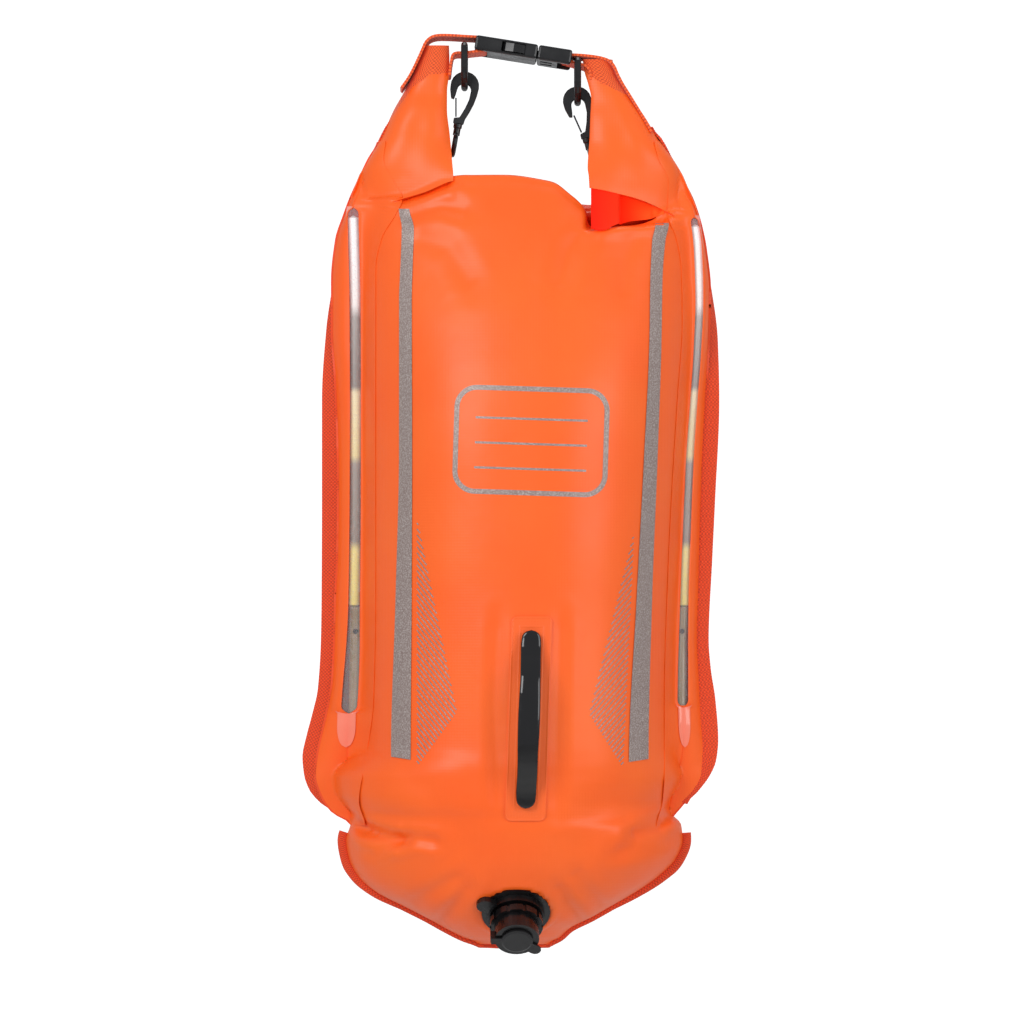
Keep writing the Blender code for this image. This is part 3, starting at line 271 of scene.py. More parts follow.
window_film = clear_film("clear window film", "#FFFFFF", 0.12)
film_tab = clear_film("film welded over orange cloth", "#FF8A70", 1.0)
# Painted glow: the tube's bands, bright at the top and grey at the foot, also shine as emission.
painted_glow_tube = graded(
    new_material("light tube with painted glow", "#F4F2EE", 0.25, IOR=1.49, Coat_Weight=0.6,
                 Coat_Roughness=0.1, Emission_Strength=0.12),
    "Z", -0.117, -0.422, (0.0, "#FFFFFF"), (0.22, "#FBFAF6"), (0.25, "#A9A6A0"), (0.42, "#8F8B84"),
    (0.435, "#F6EFC4"), (0.59, "#EFE6A8"), (0.61, "#A39E94"), (0.80, "#8F887C"), (0.82, "#F0E690"),
    (0.99, "#E4D878"))
# Painted shade and glow for the pleat pocket: deep red at the fold, paler outwards, with faint emission.
painted_pleat_shade_glow = graded(
    new_material("painted shade and glow inside a pleat", "#E81C06", 0.8, Specular_IOR_Level=0.15,
                 Emission_Strength=0.2),
    "X", 0.052, 0.100, (0.0, "#EE1C06"), (0.45, "#F5300E"), (1.0, "#FF5E20"))
sleeve_shade = graded(
    new_material("shaded cloth inside the sleeve", "#A02010", 0.8, Emission_Strength=0.0),
    "Z", -0.115, -0.49, (0.0, "#F03C18"), (0.06, "#D03418"), (1.0, "#6A1408"))

# %% [markdown]
# Buckle, rings and hooks are injection-moulded acetal: satin black, with the fine spark-eroded
# grain of the mould and edges worn a little smoother. The handle is a glossier soft-touch
# elastomer, and the valve's seal and stopper are silicone rubber.

# %% Black plastics and rubbers
def moulded(name, colour, roughness, grain, coat=0.0):
    """Moulded polymer with its mould grain in metres."""
    material = new_material(name, colour, roughness, IOR=1.48, Coat_Weight=coat, Coat_Roughness=0.06)
    place = object_coordinates(material)
    texture = cloudy(material, place, 1.0 / grain, 2.0)
    wear = cloudy(material, place, 70.0, 4.0)
    smooth = max(0.04, roughness - 0.1)
    feed(material, Normal=bump(material, texture, 0.18, 0.0001),
         Roughness=spread(material, wear, 0.3, 0.7, smooth, roughness + 0.08))
    return material


acetal_black = moulded("moulded black acetal", "#0E0E10", 0.30, 0.0007)
valve_black = moulded("moulded black valve nylon", "#070607", 0.33, 0.0006, 0.05)
handle_black = moulded("gloss black handle elastomer", "#050405", 0.12, 0.002, 0.2)
rubber_black = moulded("black silicone rubber", "#121112", 0.38, 0.0008)
smoked_lamp = moulded("smoked polycarbonate lamp body", "#8E8160", 0.25, 0.003, 0.4)
cell_steel = new_material("nickel-plated cell case", "#B9B9B4", 0.28, Metallic=1.0)
for material, names in (
        (smoked_lamp, "lamp_module_left lamp_module_right"),
        (cell_steel, "lamp_cell_left lamp_cell_right"),
        (rubber_black, "lamp_button_left lamp_button_right valve_seal valve_flap valve_stopper"),
        (valve_black, "valve_base valve_insert"),
        (acetal_black, "buckle_socket buckle_plug prong_front prong_rear d_ring_left d_ring_right "
                       "hook_body_left hook_body_right hook_gate_left hook_gate_right "
                       "hook_eye_left hook_eye_right")):
    for name in names.split():
        for material_slot in nodes[name].material_slots:
            material_slot.material = material
print("materials:", len(bpy.data.materials))

# %% [markdown]
# The bag's outline is a short table: at each share of its height, how far the cloth reaches left
# and right, and how deep the cell is. A smooth curve through the rows gives a soft outline. A
# real cell is a pillow: its face bulges between its welded edges, steep at the weld and flat in
# the middle.

# %% Outline of the bag
bag_half_width = 0.156
bag_height = 0.5745
bag_centre_x = -0.00525
bag_top_drop = 0.0885
cell_depth = {-1: 0.100, 1: 0.092}
seam_half = 0.0009
sag_reach, rear_top = 0.07, 0.062
bag_rows = (
    (0.000, 0.730, 0.780, 0.36), (0.016, 0.734, 0.796, 0.41), (0.035, 0.740, 0.820, 0.46),
    (0.074, 0.740, 0.844, 0.56), (0.120, 0.737, 0.850, 0.66), (0.198, 0.738, 0.850, 0.82),
    (0.290, 0.733, 0.828, 0.95), (0.394, 0.723, 0.800, 1.00), (0.499, 0.720, 0.782, 1.00),
    (0.603, 0.722, 0.760, 1.00), (0.668, 0.725, 0.757, 1.00), (0.714, 0.730, 0.757, 1.00),
    (0.740, 0.738, 0.762, 1.00), (0.760, 0.815, 0.785, 1.00), (0.779, 0.872, 0.802, 0.99),
    (0.800, 0.862, 0.768, 0.98), (0.817, 0.822, 0.735, 0.97), (0.830, 0.785, 0.752, 0.95),
    (0.843, 0.790, 0.798, 0.94), (0.864, 0.812, 0.806, 0.91), (0.888, 0.798, 0.774, 0.865),
    (0.911, 0.755, 0.692, 0.80), (0.932, 0.668, 0.582, 0.72), (0.950, 0.540, 0.466, 0.63),
    (0.966, 0.423, 0.361, 0.54), (0.979, 0.337, 0.265, 0.43), (0.991, 0.250, 0.216, 0.30),
    (1.000, 0.168, 0.159, 0.12))
sag_rows = ((-1.0, 0.028), (-0.55, 0.022), (-0.32, 0.001), (-0.05, 0.000), (0.15, 0.007),
            (0.19, 0.010), (0.26, 0.024), (0.322, 0.040), (0.365, 0.062), (0.50, 0.060),
            (0.66, 0.052), (0.76, 0.035), (1.0, 0.030))


def eased(share):
    """A share from 0 to 1 that starts and stops gently."""
    return share * share * (3 - 2 * share)


def rounded(value, power):
    """A sine or cosine raised to a power with its sign kept, for sections with round corners."""
    return math.copysign(abs(value) ** power, value)


def hermite(t, low, low_slope, high, high_slope):
    """A smooth curve between two values, with a slope at each end."""
    return ((2 * t ** 3 - 3 * t ** 2 + 1) * low + (t ** 3 - 2 * t ** 2 + t) * low_slope
            + (3 * t ** 2 - 2 * t ** 3) * high + (t ** 3 - t ** 2) * high_slope)


def smooth_share(rows, place, column=1):
    """Read a column of a table at a place, on a smooth curve that doesn't overshoot."""
    rows = rows if rows[0][0] <= rows[-1][0] else rows[::-1]
    if place <= rows[0][0]:
        return rows[0][column]
    if place >= rows[-1][0]:
        return rows[-1][column]
    index = next(i for i in range(len(rows) - 1) if place <= rows[i + 1][0])

    def slope(i):
        """Slope at a row, flat where the table turns back."""
        if i == 0 or i == len(rows) - 1:
            return 0.0
        before = (rows[i][column] - rows[i - 1][column]) / (rows[i][0] - rows[i - 1][0])
        after = (rows[i + 1][column] - rows[i][column]) / (rows[i + 1][0] - rows[i][0])
        return 0.0 if before * after <= 0 else 2 * before * after / (before + after)

    low, high = rows[index], rows[index + 1]
    width = high[0] - low[0]
    return hermite((place - low[0]) / width, low[column], width * slope(index),
                   high[column], width * slope(index + 1))


def bag_x(share):
    """X of a place across the bag."""
    return bag_centre_x + share * bag_half_width


def bag_z(share):
    """Z of a height share of the bag."""
    return -bag_top_drop - share * bag_height


def bag_edges(height):
    """Places of the cloth's left and right edge at a height share."""
    return -smooth_share(bag_rows, height), smooth_share(bag_rows, height, 2)


def across_of(height, place):
    """The across value, from -1 to 1, of a place across the bag."""
    left, right = bag_edges(height)
    return (place - (left + right) / 2) / ((right - left) / 2)


def cell_point(side, height, across):
    """Point on a cell's outer face; side is -1 in front and 1 behind."""
    left, right = bag_edges(height)
    place = (left + right) / 2 + across * (right - left) / 2
    depth = cell_depth[side] * smooth_share(bag_rows, height, 3)
    bulge = depth * (1 - min(1.0, abs(across)) ** 2.4) ** 0.6
    drop = smooth_share(sag_rows, place) * bag_height * max(0.0, 1 - height / sag_reach)
    return Vector((bag_x(place), side * (seam_half + bulge), bag_z(height) - drop))


def cell_normal(side, height, across):
    """Outward direction of a cell's face."""
    step = 0.012
    low, high = max(-0.998, across - step), min(0.998, across + step)
    down = cell_point(side, height + step, across) - cell_point(side, height - step, across)
    over = cell_point(side, height, high) - cell_point(side, height, low)
    normal = over.cross(down).normalized()
    return normal if normal.y * side > 0 else -normal


# %% [markdown]
# Coated cloth under air pressure is smooth where it is free and breaks into creases where it is
# held: at the rolled top, at the pinch above the bottom lobes and round the valve. Each crease is
# a line on the photograph with a depth and a width, and each point of the mesh moves in by what
# the creases near it give.

# %% Creases and puckers
front_creases = (
    (((398, 199), (425, 191), (452, 182)), 5.0, 9.0), (((404, 214), (440, 206), (470, 214)), 2.2, 12.0),
    (((412, 236), (450, 250), (474, 290)), 1.5, 15.0), (((592, 226), (632, 220), (668, 218)), 6.0, 8.0),
    (((590, 226), (570, 252), (560, 292)), 2.2, 14.0), (((640, 222), (624, 262), (622, 300)), 1.2, 14.0),
    (((352, 822), (378, 832), (404, 836)), 6.0, 9.0), (((375, 848), (412, 834), (440, 838)), 3.0, 8.0),
    (((682, 806), (660, 822), (630, 830)), 5.0, 9.0), (((690, 832), (655, 836), (612, 850)), 2.2, 10.0),
    (((410, 902), (440, 884), (462, 872)), 1.8, 9.0), (((436, 924), (456, 900), (470, 880)), 1.8, 8.0),
    (((604, 908), (584, 884), (574, 866)), 1.8, 9.0), (((582, 922), (566, 900), (556, 880)), 1.8, 8.0),
    (((400, 760), (440, 800), (470, 850)), 1.0, 22.0), (((640, 770), (606, 800), (574, 850)), 1.0, 22.0),
    (((498, 612), (494, 700), (498, 812)), 1.5, 10.0), (((560, 612), (558, 700), (556, 812)), 1.5, 10.0),
    (((350, 210), (336, 330), (338, 500)), 0.8, 10.0))


def from_segment(here, first, second):
    """Share along a segment of the place nearest a pixel, and its distance in pixels."""
    start, span = Vector(first), Vector(second) - Vector(first)
    share = unit((here - start).dot(span) / span.length_squared)
    return share, (here - start - span * share).length


def crease_depth(point):
    """How far in the creases draw a front point, in metres."""
    total = 0.0
    here = pixel_of(point)
    for line, depth, width in front_creases:
        best = None
        for first, second in zip(line, line[1:]):
            t, reach = from_segment(here, first, second)
            if best is None or reach < best[0]:
                ends = (t if first == line[0] else 1.0), (1 - t if second == line[-1] else 1.0)
                best = (reach, min(1.0, 4 * min(ends) + 0.35))
        away = best[0] / width
        if away < 3:
            valley = math.exp(-away * away * 2.2)
            shoulder = 0.35 * math.exp(-(away - 1.5) ** 2 * 2.5)
            total += depth * 0.001 * best[1] * (valley - shoulder)
    return total


def pucker(side, height, across, point):
    """Small gathers that run in from the welded edge, and the cloth's slow unevenness."""
    edge = max(0.0, 1 - (1 - abs(across)) / 0.16)
    run = height * bag_height * math.tau / 0.021 + 3.0 * noise.noise(Vector((height * 14, side, 0)))
    gathers = 0.0007 * edge * (0.5 + 0.5 * math.sin(run + 4 * across))
    foot = max(0.0, (height - 0.80) / 0.2)
    radial = 0.0012 * foot * foot * math.sin(math.atan2(point.x, -0.60 - point.z + 0.08) * 26)
    slow = 0.0012 * noise.noise(point * 16 + Vector((0, 0, side * 5)))
    return gathers + radial * (1 - abs(across)) - slow


def grid_skin(columns, rows, place):
    """A bmesh grid with each point put in place by a function of two shares from 0 to 1."""
    bm = bmesh.new()
    bmesh.ops.create_grid(bm, x_segments=columns, y_segments=rows, size=0.5)
    for vert in bm.verts:
        vert.co = place(vert.co.x + 0.5, vert.co.y + 0.5)
    return bm


def mapped_grid(columns, rows, length, width):
    """A flat grid with a UV map in metres along and across it."""
    bm = bmesh.new()
    layer = bm.loops.layers.uv.new("UVMap")
    bmesh.ops.create_grid(bm, x_segments=columns, y_segments=rows, size=0.5, calc_uvs=True)
    for face in bm.faces:
        for loop in face.loops:
            loop[layer].uv = ((loop.vert.co.y + 0.5) * length, (loop.vert.co.x + 0.5) * width)
    return bm


def tube_skin(columns, rows, place, length, width):
    """A grid rolled into a tube, welded along its meeting edge and closed at both ends."""
    bm = mapped_grid(columns, rows, length, width)
    for vert in bm.verts:
        vert.co = place(vert.co.x + 0.5, vert.co.y + 0.5)
    bmesh.ops.remove_doubles(bm, verts=bm.verts[:], dist=0.00002)
    bmesh.ops.holes_fill(bm, edges=[e for e in bm.edges if e.is_boundary], sides=0)
    return bm


def thicken(bm, thickness):
    """Give a sheet its thickness; where it folds sharply, the inner skin stays close by."""
    skin = kdtree.KDTree(len(bm.verts))
    for index, vert in enumerate(bm.verts):
        skin.insert(vert.co, index)
    skin.balance()
    bmesh.ops.solidify(bm, geom=bm.faces[:], thickness=thickness)
    for vert in bm.verts:
        near, index, distance = skin.find(vert.co)
        if distance > 2 * thickness:
            vert.co = near + Vector((0, thickness, 0))


def only(kind, geometry):
    """The parts of a bmesh result that are of one kind."""
    return [part for part in geometry if isinstance(part, kind)]


def open_edges(bm, test):
    """Boundary edges whose two ends pass a test."""
    return [e for e in bm.edges if e.is_boundary and all(test(v) for v in e.verts)]


def add_mesh(bm, name, material):
    """Turn a bmesh into an object in the scene."""
    bmesh.ops.recalc_face_normals(bm, faces=bm.faces[:])
    mesh = bpy.data.meshes.new(name)
    bm.to_mesh(mesh)
    bm.free()
    mesh.materials.append(material)
    mesh.shade_smooth()
    piece = bpy.data.objects.new(name, mesh)
    bpy.context.scene.collection.objects.link(piece)
    return piece


def finish_piece(bm, name, material, body="bag", replaced=(), slot="coated_fabric", crease_angle=60):
    """Make a piece that rides a body, or is left in world space for the bag and the opened right end."""
    piece = add_mesh(bm, name, material)
    piece.data.set_sharp_from_angle(angle=math.radians(crease_angle))
    if body == "both":
        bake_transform(piece)
    else:
        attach(piece, body)
    if replaced:
        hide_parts(*replaced)
    return piece


def sheet_piece(bm, thickness, name, material, *finish):
    """Give a grid of places its thickness and make it a piece."""
    bmesh.ops.solidify(bm, geom=bm.faces[:], thickness=thickness)
    return finish_piece(bm, name, material, *finish)


sides = ((-1, "left", "bag"), (1, "right", "both"))

# %% [markdown]
# Each cell is one grid that is laid over the outline and bulged. A second grid closes it flat at
# the seam, and its long edges meet the first. The front cell has a hole under its valve, with a
# short sleeve of cloth inside, because the valve's insert screws out through it.

# %% Valve place
valve_origin = Vector((-0.004563, -0.057483, -0.63587))
valve_axis = Vector((0.02743, -0.699834, -0.713779)).normalized()
flange_radius, bore_radius = 0.0255, 0.0145
flange_seat, welded_lip = -0.0004, 0.0014


def seat_valve(point):
    """Press the cloth flat under the valve's flange, and lift a welded lip round it."""
    away = point - valve_origin
    level = away.dot(valve_axis)
    radial = (away - valve_axis * level).length
    reach = flange_radius + 0.007
    if radial > reach or abs(level) > 0.03:
        return point
    target = flange_seat if radial < flange_radius else welded_lip
    blend = min(1.0, (reach - radial) / 0.005)
    return point + valve_axis * (target - level) * blend


def close_to_seam(bm, side, edges, crown):
    """Carry an open edge of a cell's face round to the seam plane in a few rows."""
    seam = side * seam_half
    rim = {round(v.co.x, 6): v.co.copy() for e in edges for v in e.verts}
    steps = 6
    for step in range(1, steps + 1):
        made = bmesh.ops.extrude_edge_only(bm, edges=edges)["geom"]
        fresh = set(only(bmesh.types.BMVert, made))
        angle = math.pi / 2 * step / steps
        for vert in fresh:
            first = rim[round(vert.co.x, 6)]
            vert.co.y = seam + (first.y - seam) * math.cos(angle)
            vert.co.z = first.z + crown * abs(first.y - seam) * math.sin(2 * angle)
        edges = open_edges(bm, lambda v: v in fresh)
    bmesh.ops.remove_doubles(bm, verts=bm.verts[:], dist=0.00005)


def make_cell(name, side, columns, rows, node):
    """One welded air cell with its creases."""
    first_height = 0.0 if side < 0 else rear_top

    def face(u, v):
        """Outer face; rows run from the foot up."""
        across = -math.cos(math.pi * u) * 0.35 + (2 * u - 1) * 0.65
        height = 1 - v * (1 - first_height)
        point = cell_point(side, height, across)
        inward = pucker(side, height, across, point)
        if side < 0:
            inward += crease_depth(point)
        edge = min(1.0, (1 - abs(across)) * 12)
        point -= cell_normal(side, min(0.99, height), max(-0.995, min(0.995, across))) * inward * edge
        return seat_valve(point) if side < 0 else point

    bm = grid_skin(columns, rows, face)
    flat = bmesh.ops.duplicate(bm, geom=bm.verts[:] + bm.edges[:] + bm.faces[:])["geom"]
    for vert in only(bmesh.types.BMVert, flat):
        vert.co.y = side * seam_half
    bmesh.ops.reverse_faces(bm, faces=only(bmesh.types.BMFace, flat))
    bmesh.ops.remove_doubles(bm, verts=bm.verts[:], dist=0.00005)
    if side < 0:
        under = [f for f in bm.faces if f.calc_center_median().y < -0.02 and bore_radius + 0.003
                 > (f.calc_center_median() - valve_origin).cross(valve_axis).length]
        bmesh.ops.delete(bm, geom=under, context="FACES")
    for crown, near in ((0.04, lambda v: v.co.z > bag_z(0.3)),
                        (-0.04, lambda v: abs(v.co.z - bag_z(1.0)) < 0.012 and abs(v.co.y) < 0.016)):
        rim = [e for e in open_edges(bm, near)
               if max(abs(v.co.y) for v in e.verts) > seam_half + 0.0001]
        close_to_seam(bm, side, rim, crown)
    if side < 0:
        rim = [e for e in bm.edges if e.is_boundary]
        sleeve = bmesh.ops.extrude_edge_only(bm, edges=rim)["geom"]
        bmesh.ops.translate(bm, verts=only(bmesh.types.BMVert, sleeve), vec=-valve_axis * 0.020)
        bmesh.ops.holes_fill(bm, edges=[e for e in bm.edges if e.is_boundary], sides=0)
    return finish_piece(bm, name, bag_nylon, replaced=(node,))


front_cell = make_cell("front_air_cell", -1, 130, 230, "front_chamber")
rear_cell = make_cell("rear_air_cell", 1, 90, 150, "rear_chamber")
print("front cell faces:", len(front_cell.data.polygons))

# %% [markdown]
# The two ends of the roll stand up to the buckle like horns. Each is a flattened tube of cloth
# that opens into the bag's face at its foot, where its hem overhangs a crease. The right one
# leaves a pleat open below its hem. Webbing is sewn over its top, so the faces above a slanting
# line take the strap's finish.

# %% Roll ends
horn_rows = {
    -1: ((0.055, 0.812, 0.300, 0.33), (0.000, 0.756, 0.293, 0.33), (-0.017, 0.714, 0.298, 0.31),
         (-0.056, 0.640, 0.312, 0.27), (-0.089, 0.586, 0.325, 0.24), (-0.112, 0.538, 0.325, 0.20),
         (-0.134, 0.498, 0.316, 0.17), (-0.154, 0.468, 0.314, 0.145), (-0.172, 0.446, 0.316, 0.125)),
    1: ((0.065, 0.893, 0.360, 0.33), (0.000, 0.816, 0.351, 0.33), (-0.010, 0.794, 0.346, 0.31),
        (-0.050, 0.694, 0.356, 0.27), (-0.078, 0.632, 0.360, 0.24), (-0.102, 0.572, 0.364, 0.20),
        (-0.121, 0.524, 0.350, 0.17), (-0.138, 0.492, 0.332, 0.145), (-0.154, 0.474, 0.325, 0.125))}
hem_rows = {-1: ((0.28, 0.006), (0.433, 0.021), (0.5625, 0.031), (0.735, 0.050), (0.80, 0.056)),
            1: ((0.34, 0.0157), (0.53, 0.0248), (0.60, 0.030), (0.74, 0.047), (0.83, 0.062))}
hem_lift = {-1: 0.0012, 1: 0.0016}
front_turn = {-1: 0.6, 1: 0.8}
back_shift = {-1: 0.056, 1: 0.098}
horn_creases = {-1: (((434, 98), (418, 128), (404, 176)), ((404, 108), (424, 96), (442, 98))),
                1: (((604, 108), (620, 140), (634, 184)), ((600, 186), (625, 194), (646, 200)))}


def face_y(place, z):
    """How far forward the front cell's face is at a place and height."""
    height = (-bag_top_drop - z) / bag_height
    drop = smooth_share(sag_rows, place)
    for step in range(4):
        height = (-bag_top_drop - z) / bag_height - drop * max(0.0, 1 - height / sag_reach)
    height = max(0.0, height)
    across = max(-1.0, min(1.0, across_of(height, place)))
    return cell_point(-1, height, across).y


def horn_point(side, around, up):
    """Point on a roll end; around runs from its outer edge over the front, up from hem to top."""
    rows = horn_rows[side]
    height = rows[-1][0] * up
    fade = max(0.0, 1 - up / 0.32)
    outer_hem, inner_hem = hem_rows[side][-1][1], hem_rows[side][0][1]
    outer = smooth_share(rows, height + outer_hem * fade ** 1.5) - 0.004
    inner = smooth_share(rows, height + inner_hem * fade ** 1.5, 2)
    depth = smooth_share(rows, height, 3) * 0.100
    turn = -math.tau * around
    cosine, sine = math.cos(turn), math.sin(turn)
    turn_in = front_turn[side]
    brim = (1 - turn_in ** 2) ** 0.4
    reach = abs(cosine) ** 0.8 if cosine > 0 else min(1.0, abs(cosine) ** 0.8 / brim)
    place = (outer + inner) / 2 + (outer - inner) / 2 * math.copysign(reach, cosine)
    y = depth * rounded(sine, 0.8)
    if cosine < 0 and sine > -turn_in:
        place += back_shift[side] * min(1.0, -cosine) * min(1.0, (sine + turn_in) * 2.5)
    z = bag_z(height) - smooth_share(hem_rows[side], place) * bag_height * fade ** 1.5
    if sine < 0:
        forward = face_y(side * place, z) - hem_lift[side]
        edge = min(1.0, (1 + cosine) * 5) * min(1.0, (1 - cosine) * 14)
        y += (forward - y) * edge * eased(fade)
    point = Vector((bag_x(side * place), y, z))
    if sine < 0:
        here = pixel_of(point)
        for line in horn_creases[side]:
            for first, second in zip(line, line[1:]):
                point.y += 0.0008 * math.exp(-(from_segment(here, first, second)[1] / 11) ** 2)
    point.y -= 0.0010 * noise.noise(point * 17 + Vector((0, 0, 9)))
    return point


strap_line = {-1: ((448, 74), (431, 76), (413, 88), (392, 118)),
              1: ((584, 72), (600, 84), (626, 96), (652, 124))}


def above_strap_line(side, point):
    """Whether a point of a roll end lies under the webbing sewn over its top."""
    here = pixel_of(point)
    line = sorted(strap_line[side])
    if here.x <= line[0][0]:
        return here.y < line[0][1]
    for low, high in zip(line, line[1:]):
        if here.x <= high[0]:
            t = (here.x - low[0]) / (high[0] - low[0])
            return here.y < low[1] + t * (high[1] - low[1])
    return here.y < line[-1][1]


horns = {}
for side, label, body in sides:
    bm = tube_skin(96, 90, lambda u, v, s=side: horn_point(s, u, v), 0.10, 0.12)
    horns[side] = finish_piece(bm, "roll_horn_" + label, bag_nylon, body, ("roll_end_" + label,))
    horns[side].data.materials.append(strap_weave)
    for polygon in horns[side].data.polygons:
        if above_strap_line(side, polygon.center):
            polygon.material_index = 1
print("roll ends:", [len(h.data.polygons) for h in horns.values()])

# %% [markdown]
# The rolled closure behind the front cell is a flattened roll of three turns. Shallow grooves
# follow the laps, and it sags with the bag's top edge.

# %% Rolled top
roll_depth, roll_radius = 0.036, 0.0088
roll_rows = ((-1.0, 0.028), (-0.55, 0.022), (-0.32, 0.001), (-0.05, 0.000), (0.22, 0.010),
             (0.42, 0.028), (0.7, 0.032), (1.0, 0.030))


def roll_point(around, along):
    """Point on the roll; laps show as grooves that wander along it."""
    place = -0.74 + along * 1.54
    angle = math.tau * around
    top = bag_z(rear_top) + roll_radius + 0.0006
    drop = smooth_share(roll_rows, place) * bag_height * (1 - rear_top / sag_reach)
    groove = sum(math.exp(-((math.sin(angle / 2 - a) * 14) ** 2)) for a in (0.5, 1.35, 2.3))
    wrinkle = 0.05 * noise.noise(Vector((place * 22, math.cos(angle) * 2, math.sin(angle) * 2)))
    size = 1 - 0.10 * groove + wrinkle - 0.04
    size *= 1 - 0.35 * max(0.0, abs(2 * along - 1) - 0.96) / 0.04
    return Vector((bag_x(place), roll_depth / 2 * (1 + math.cos(angle) * size) + 0.0012,
                   top - drop + roll_radius * math.sin(angle) * size))


roll = finish_piece(tube_skin(64, 120, roll_point, 0.2, 0.1), "rolled_closure", roll_nylon,
                    replaced=("rolled_top",))

# %% [markdown]
# Flat straps follow a route: a line of places with a direction across each. One grid is laid
# along the route with a rib every 1.9 millimetres, then thickened, so that the ribs show on both
# faces as they do on real webbing.

# %% Strap helper
def route_sampler(points):
    """A function that gives the piece of a line and the share of it at a share of its length."""
    lengths = [0.0]
    for first, second in zip(points, points[1:]):
        lengths.append(lengths[-1] + (second - first).length)

    def at(share):
        """Index of a piece and fraction along it."""
        target = share * lengths[-1]
        i = next((i for i in range(len(points) - 2) if target <= lengths[i + 1]), len(points) - 2)
        span = lengths[i + 1] - lengths[i]
        return i, (target - lengths[i]) / span if span else 0.0

    return at, lengths[-1]


def smooth_route(points, times):
    """Round a line of points by cutting its corners."""
    for turn in range(times):
        cut = [points[0]]
        for first, second in zip(points, points[1:]):
            cut += [first.lerp(second, 0.25), first.lerp(second, 0.75)]
        points = [*cut, points[-1]]
    return points


def strap_skin(stations, thickness, rib_pitch=0.0019, rib_height=0.00032, columns=10):
    """Webbing through stations of centre, across and facing vectors; across has half the width."""
    at, length = route_sampler([station[0] for station in stations])
    width = stations[len(stations) // 2][1].length * 2
    bm = mapped_grid(columns, int(length / rib_pitch * 4), length, width)
    for vert in bm.verts:
        u, v = vert.co.x + 0.5, vert.co.y + 0.5
        i, t = at(v)
        centre, across, facing = (stations[i][k].lerp(stations[i + 1][k], t) for k in range(3))
        selvedge = 0.00022 if min(u, 1 - u) < 0.12 else 0.0
        rib = rib_height * (0.5 + 0.5 * math.cos(math.tau * v * length / rib_pitch))
        edge = math.cos(math.pi * (u - 0.5))
        vert.co = centre + across * (2 * u - 1) + facing * (selvedge - rib * min(1.0, edge * 3))
    bmesh.ops.recalc_face_normals(bm, faces=bm.faces[:])
    bmesh.ops.solidify(bm, geom=bm.faces[:], thickness=thickness)
    return bm


# %% [markdown]
# The edge binding carries the light tubes' sleeves. It lies flat beside the bag, turns edge-on at
# the shoulder, and narrows where the bottom lobes are pinched in.

# %% Edge webbing
edge_rows = {
    -1: ((-0.104, 0.553, 90, 1.0), (-0.063, 0.635, 90, 1.0), (-0.0235, 0.706, 88, 1.0),
         (0.029, 0.793, 80, 1.0), (0.074, 0.837, 58, 1.0), (0.120, 0.868, 35, 1.0),
         (0.198, 0.910, 15, 1.0), (0.290, 0.928, 0, 1.0), (0.420, 0.928, 0, 1.0),
         (0.551, 0.930, 0, 1.0), (0.603, 0.933, 0, 1.0), (0.667, 0.948, 0, 1.0),
         (0.700, 0.975, 0, 1.0), (0.730, 1.004, 0, 1.0), (0.755, 1.022, 0, 0.95),
         (0.779, 1.014, 0, 0.85), (0.800, 0.986, 0, 0.66), (0.817, 0.930, 0, 0.48),
         (0.832, 0.860, 0, 0.35)),
    1: ((-0.066, 0.655, 90, 1.0), (-0.050, 0.700, 90, 1.0), (-0.017, 0.769, 88, 1.0),
        (0.022, 0.841, 88, 1.0), (0.060, 0.889, 80, 1.0), (0.133, 0.937, 58, 1.0),
        (0.211, 0.974, 28, 1.0), (0.290, 0.981, 0, 1.0), (0.420, 0.961, 0, 1.0),
        (0.499, 0.947, 0, 1.0), (0.603, 0.930, 0, 1.0), (0.640, 0.940, 0, 1.0),
        (0.680, 0.962, 0, 1.0), (0.734, 0.976, 0, 1.0), (0.760, 0.966, 0, 0.85),
        (0.779, 0.937, 0, 0.75), (0.800, 0.880, 0, 0.60), (0.817, 0.826, 0, 0.42))}
edge_width, edge_thickness = 0.020, 0.0016


def edge_station(side, height):
    """Centre, half-width vector and facing of the edge webbing at a height share."""
    rows = edge_rows[side]

    def centre_line(h):
        """Outer line of the webbing."""
        return Vector((bag_x(side * smooth_share(rows, h)), 0, bag_z(h)))

    step = 0.004
    along = (centre_line(min(rows[-1][0], height + step))
             - centre_line(max(rows[0][0], height - step))).normalized()
    inward = along.cross(Vector((0, 1, 0))).normalized()
    if inward.x * side > 0:
        inward = -inward
    angle = math.radians(smooth_share(rows, height, 2))
    half_width = edge_width * smooth_share(rows, height, 3) / 2
    across = inward * math.cos(angle) + Vector((0, -1, 0)) * math.sin(angle)
    facing = inward * math.sin(angle) + Vector((0, 1, 0)) * math.cos(angle)
    middle = centre_line(height) + inward * (half_width * math.cos(angle)
                                             + edge_thickness / 2 * math.sin(angle))
    middle.y -= (seam_half + edge_thickness / 2) * math.cos(angle)
    middle.y += half_width * math.sin(angle) * unit((height + 0.045) / 0.055)
    return middle, across * half_width, facing


for side, label, body in sides:
    first, last = edge_rows[side][0][0], edge_rows[side][-1][0]
    count = 120
    stations = [edge_station(side, first + (last - first) * i / count) for i in range(count + 1)]
    finish_piece(strap_skin(stations, edge_thickness), "edge_strap_" + label, edge_weave, body,
                 ("edge_webbing_" + label,), "webbing", 50)

# %% [markdown]
# The closure straps pass over the roll ends, round the buckle's bars and back under, in the
# buckle's own tilted axes.

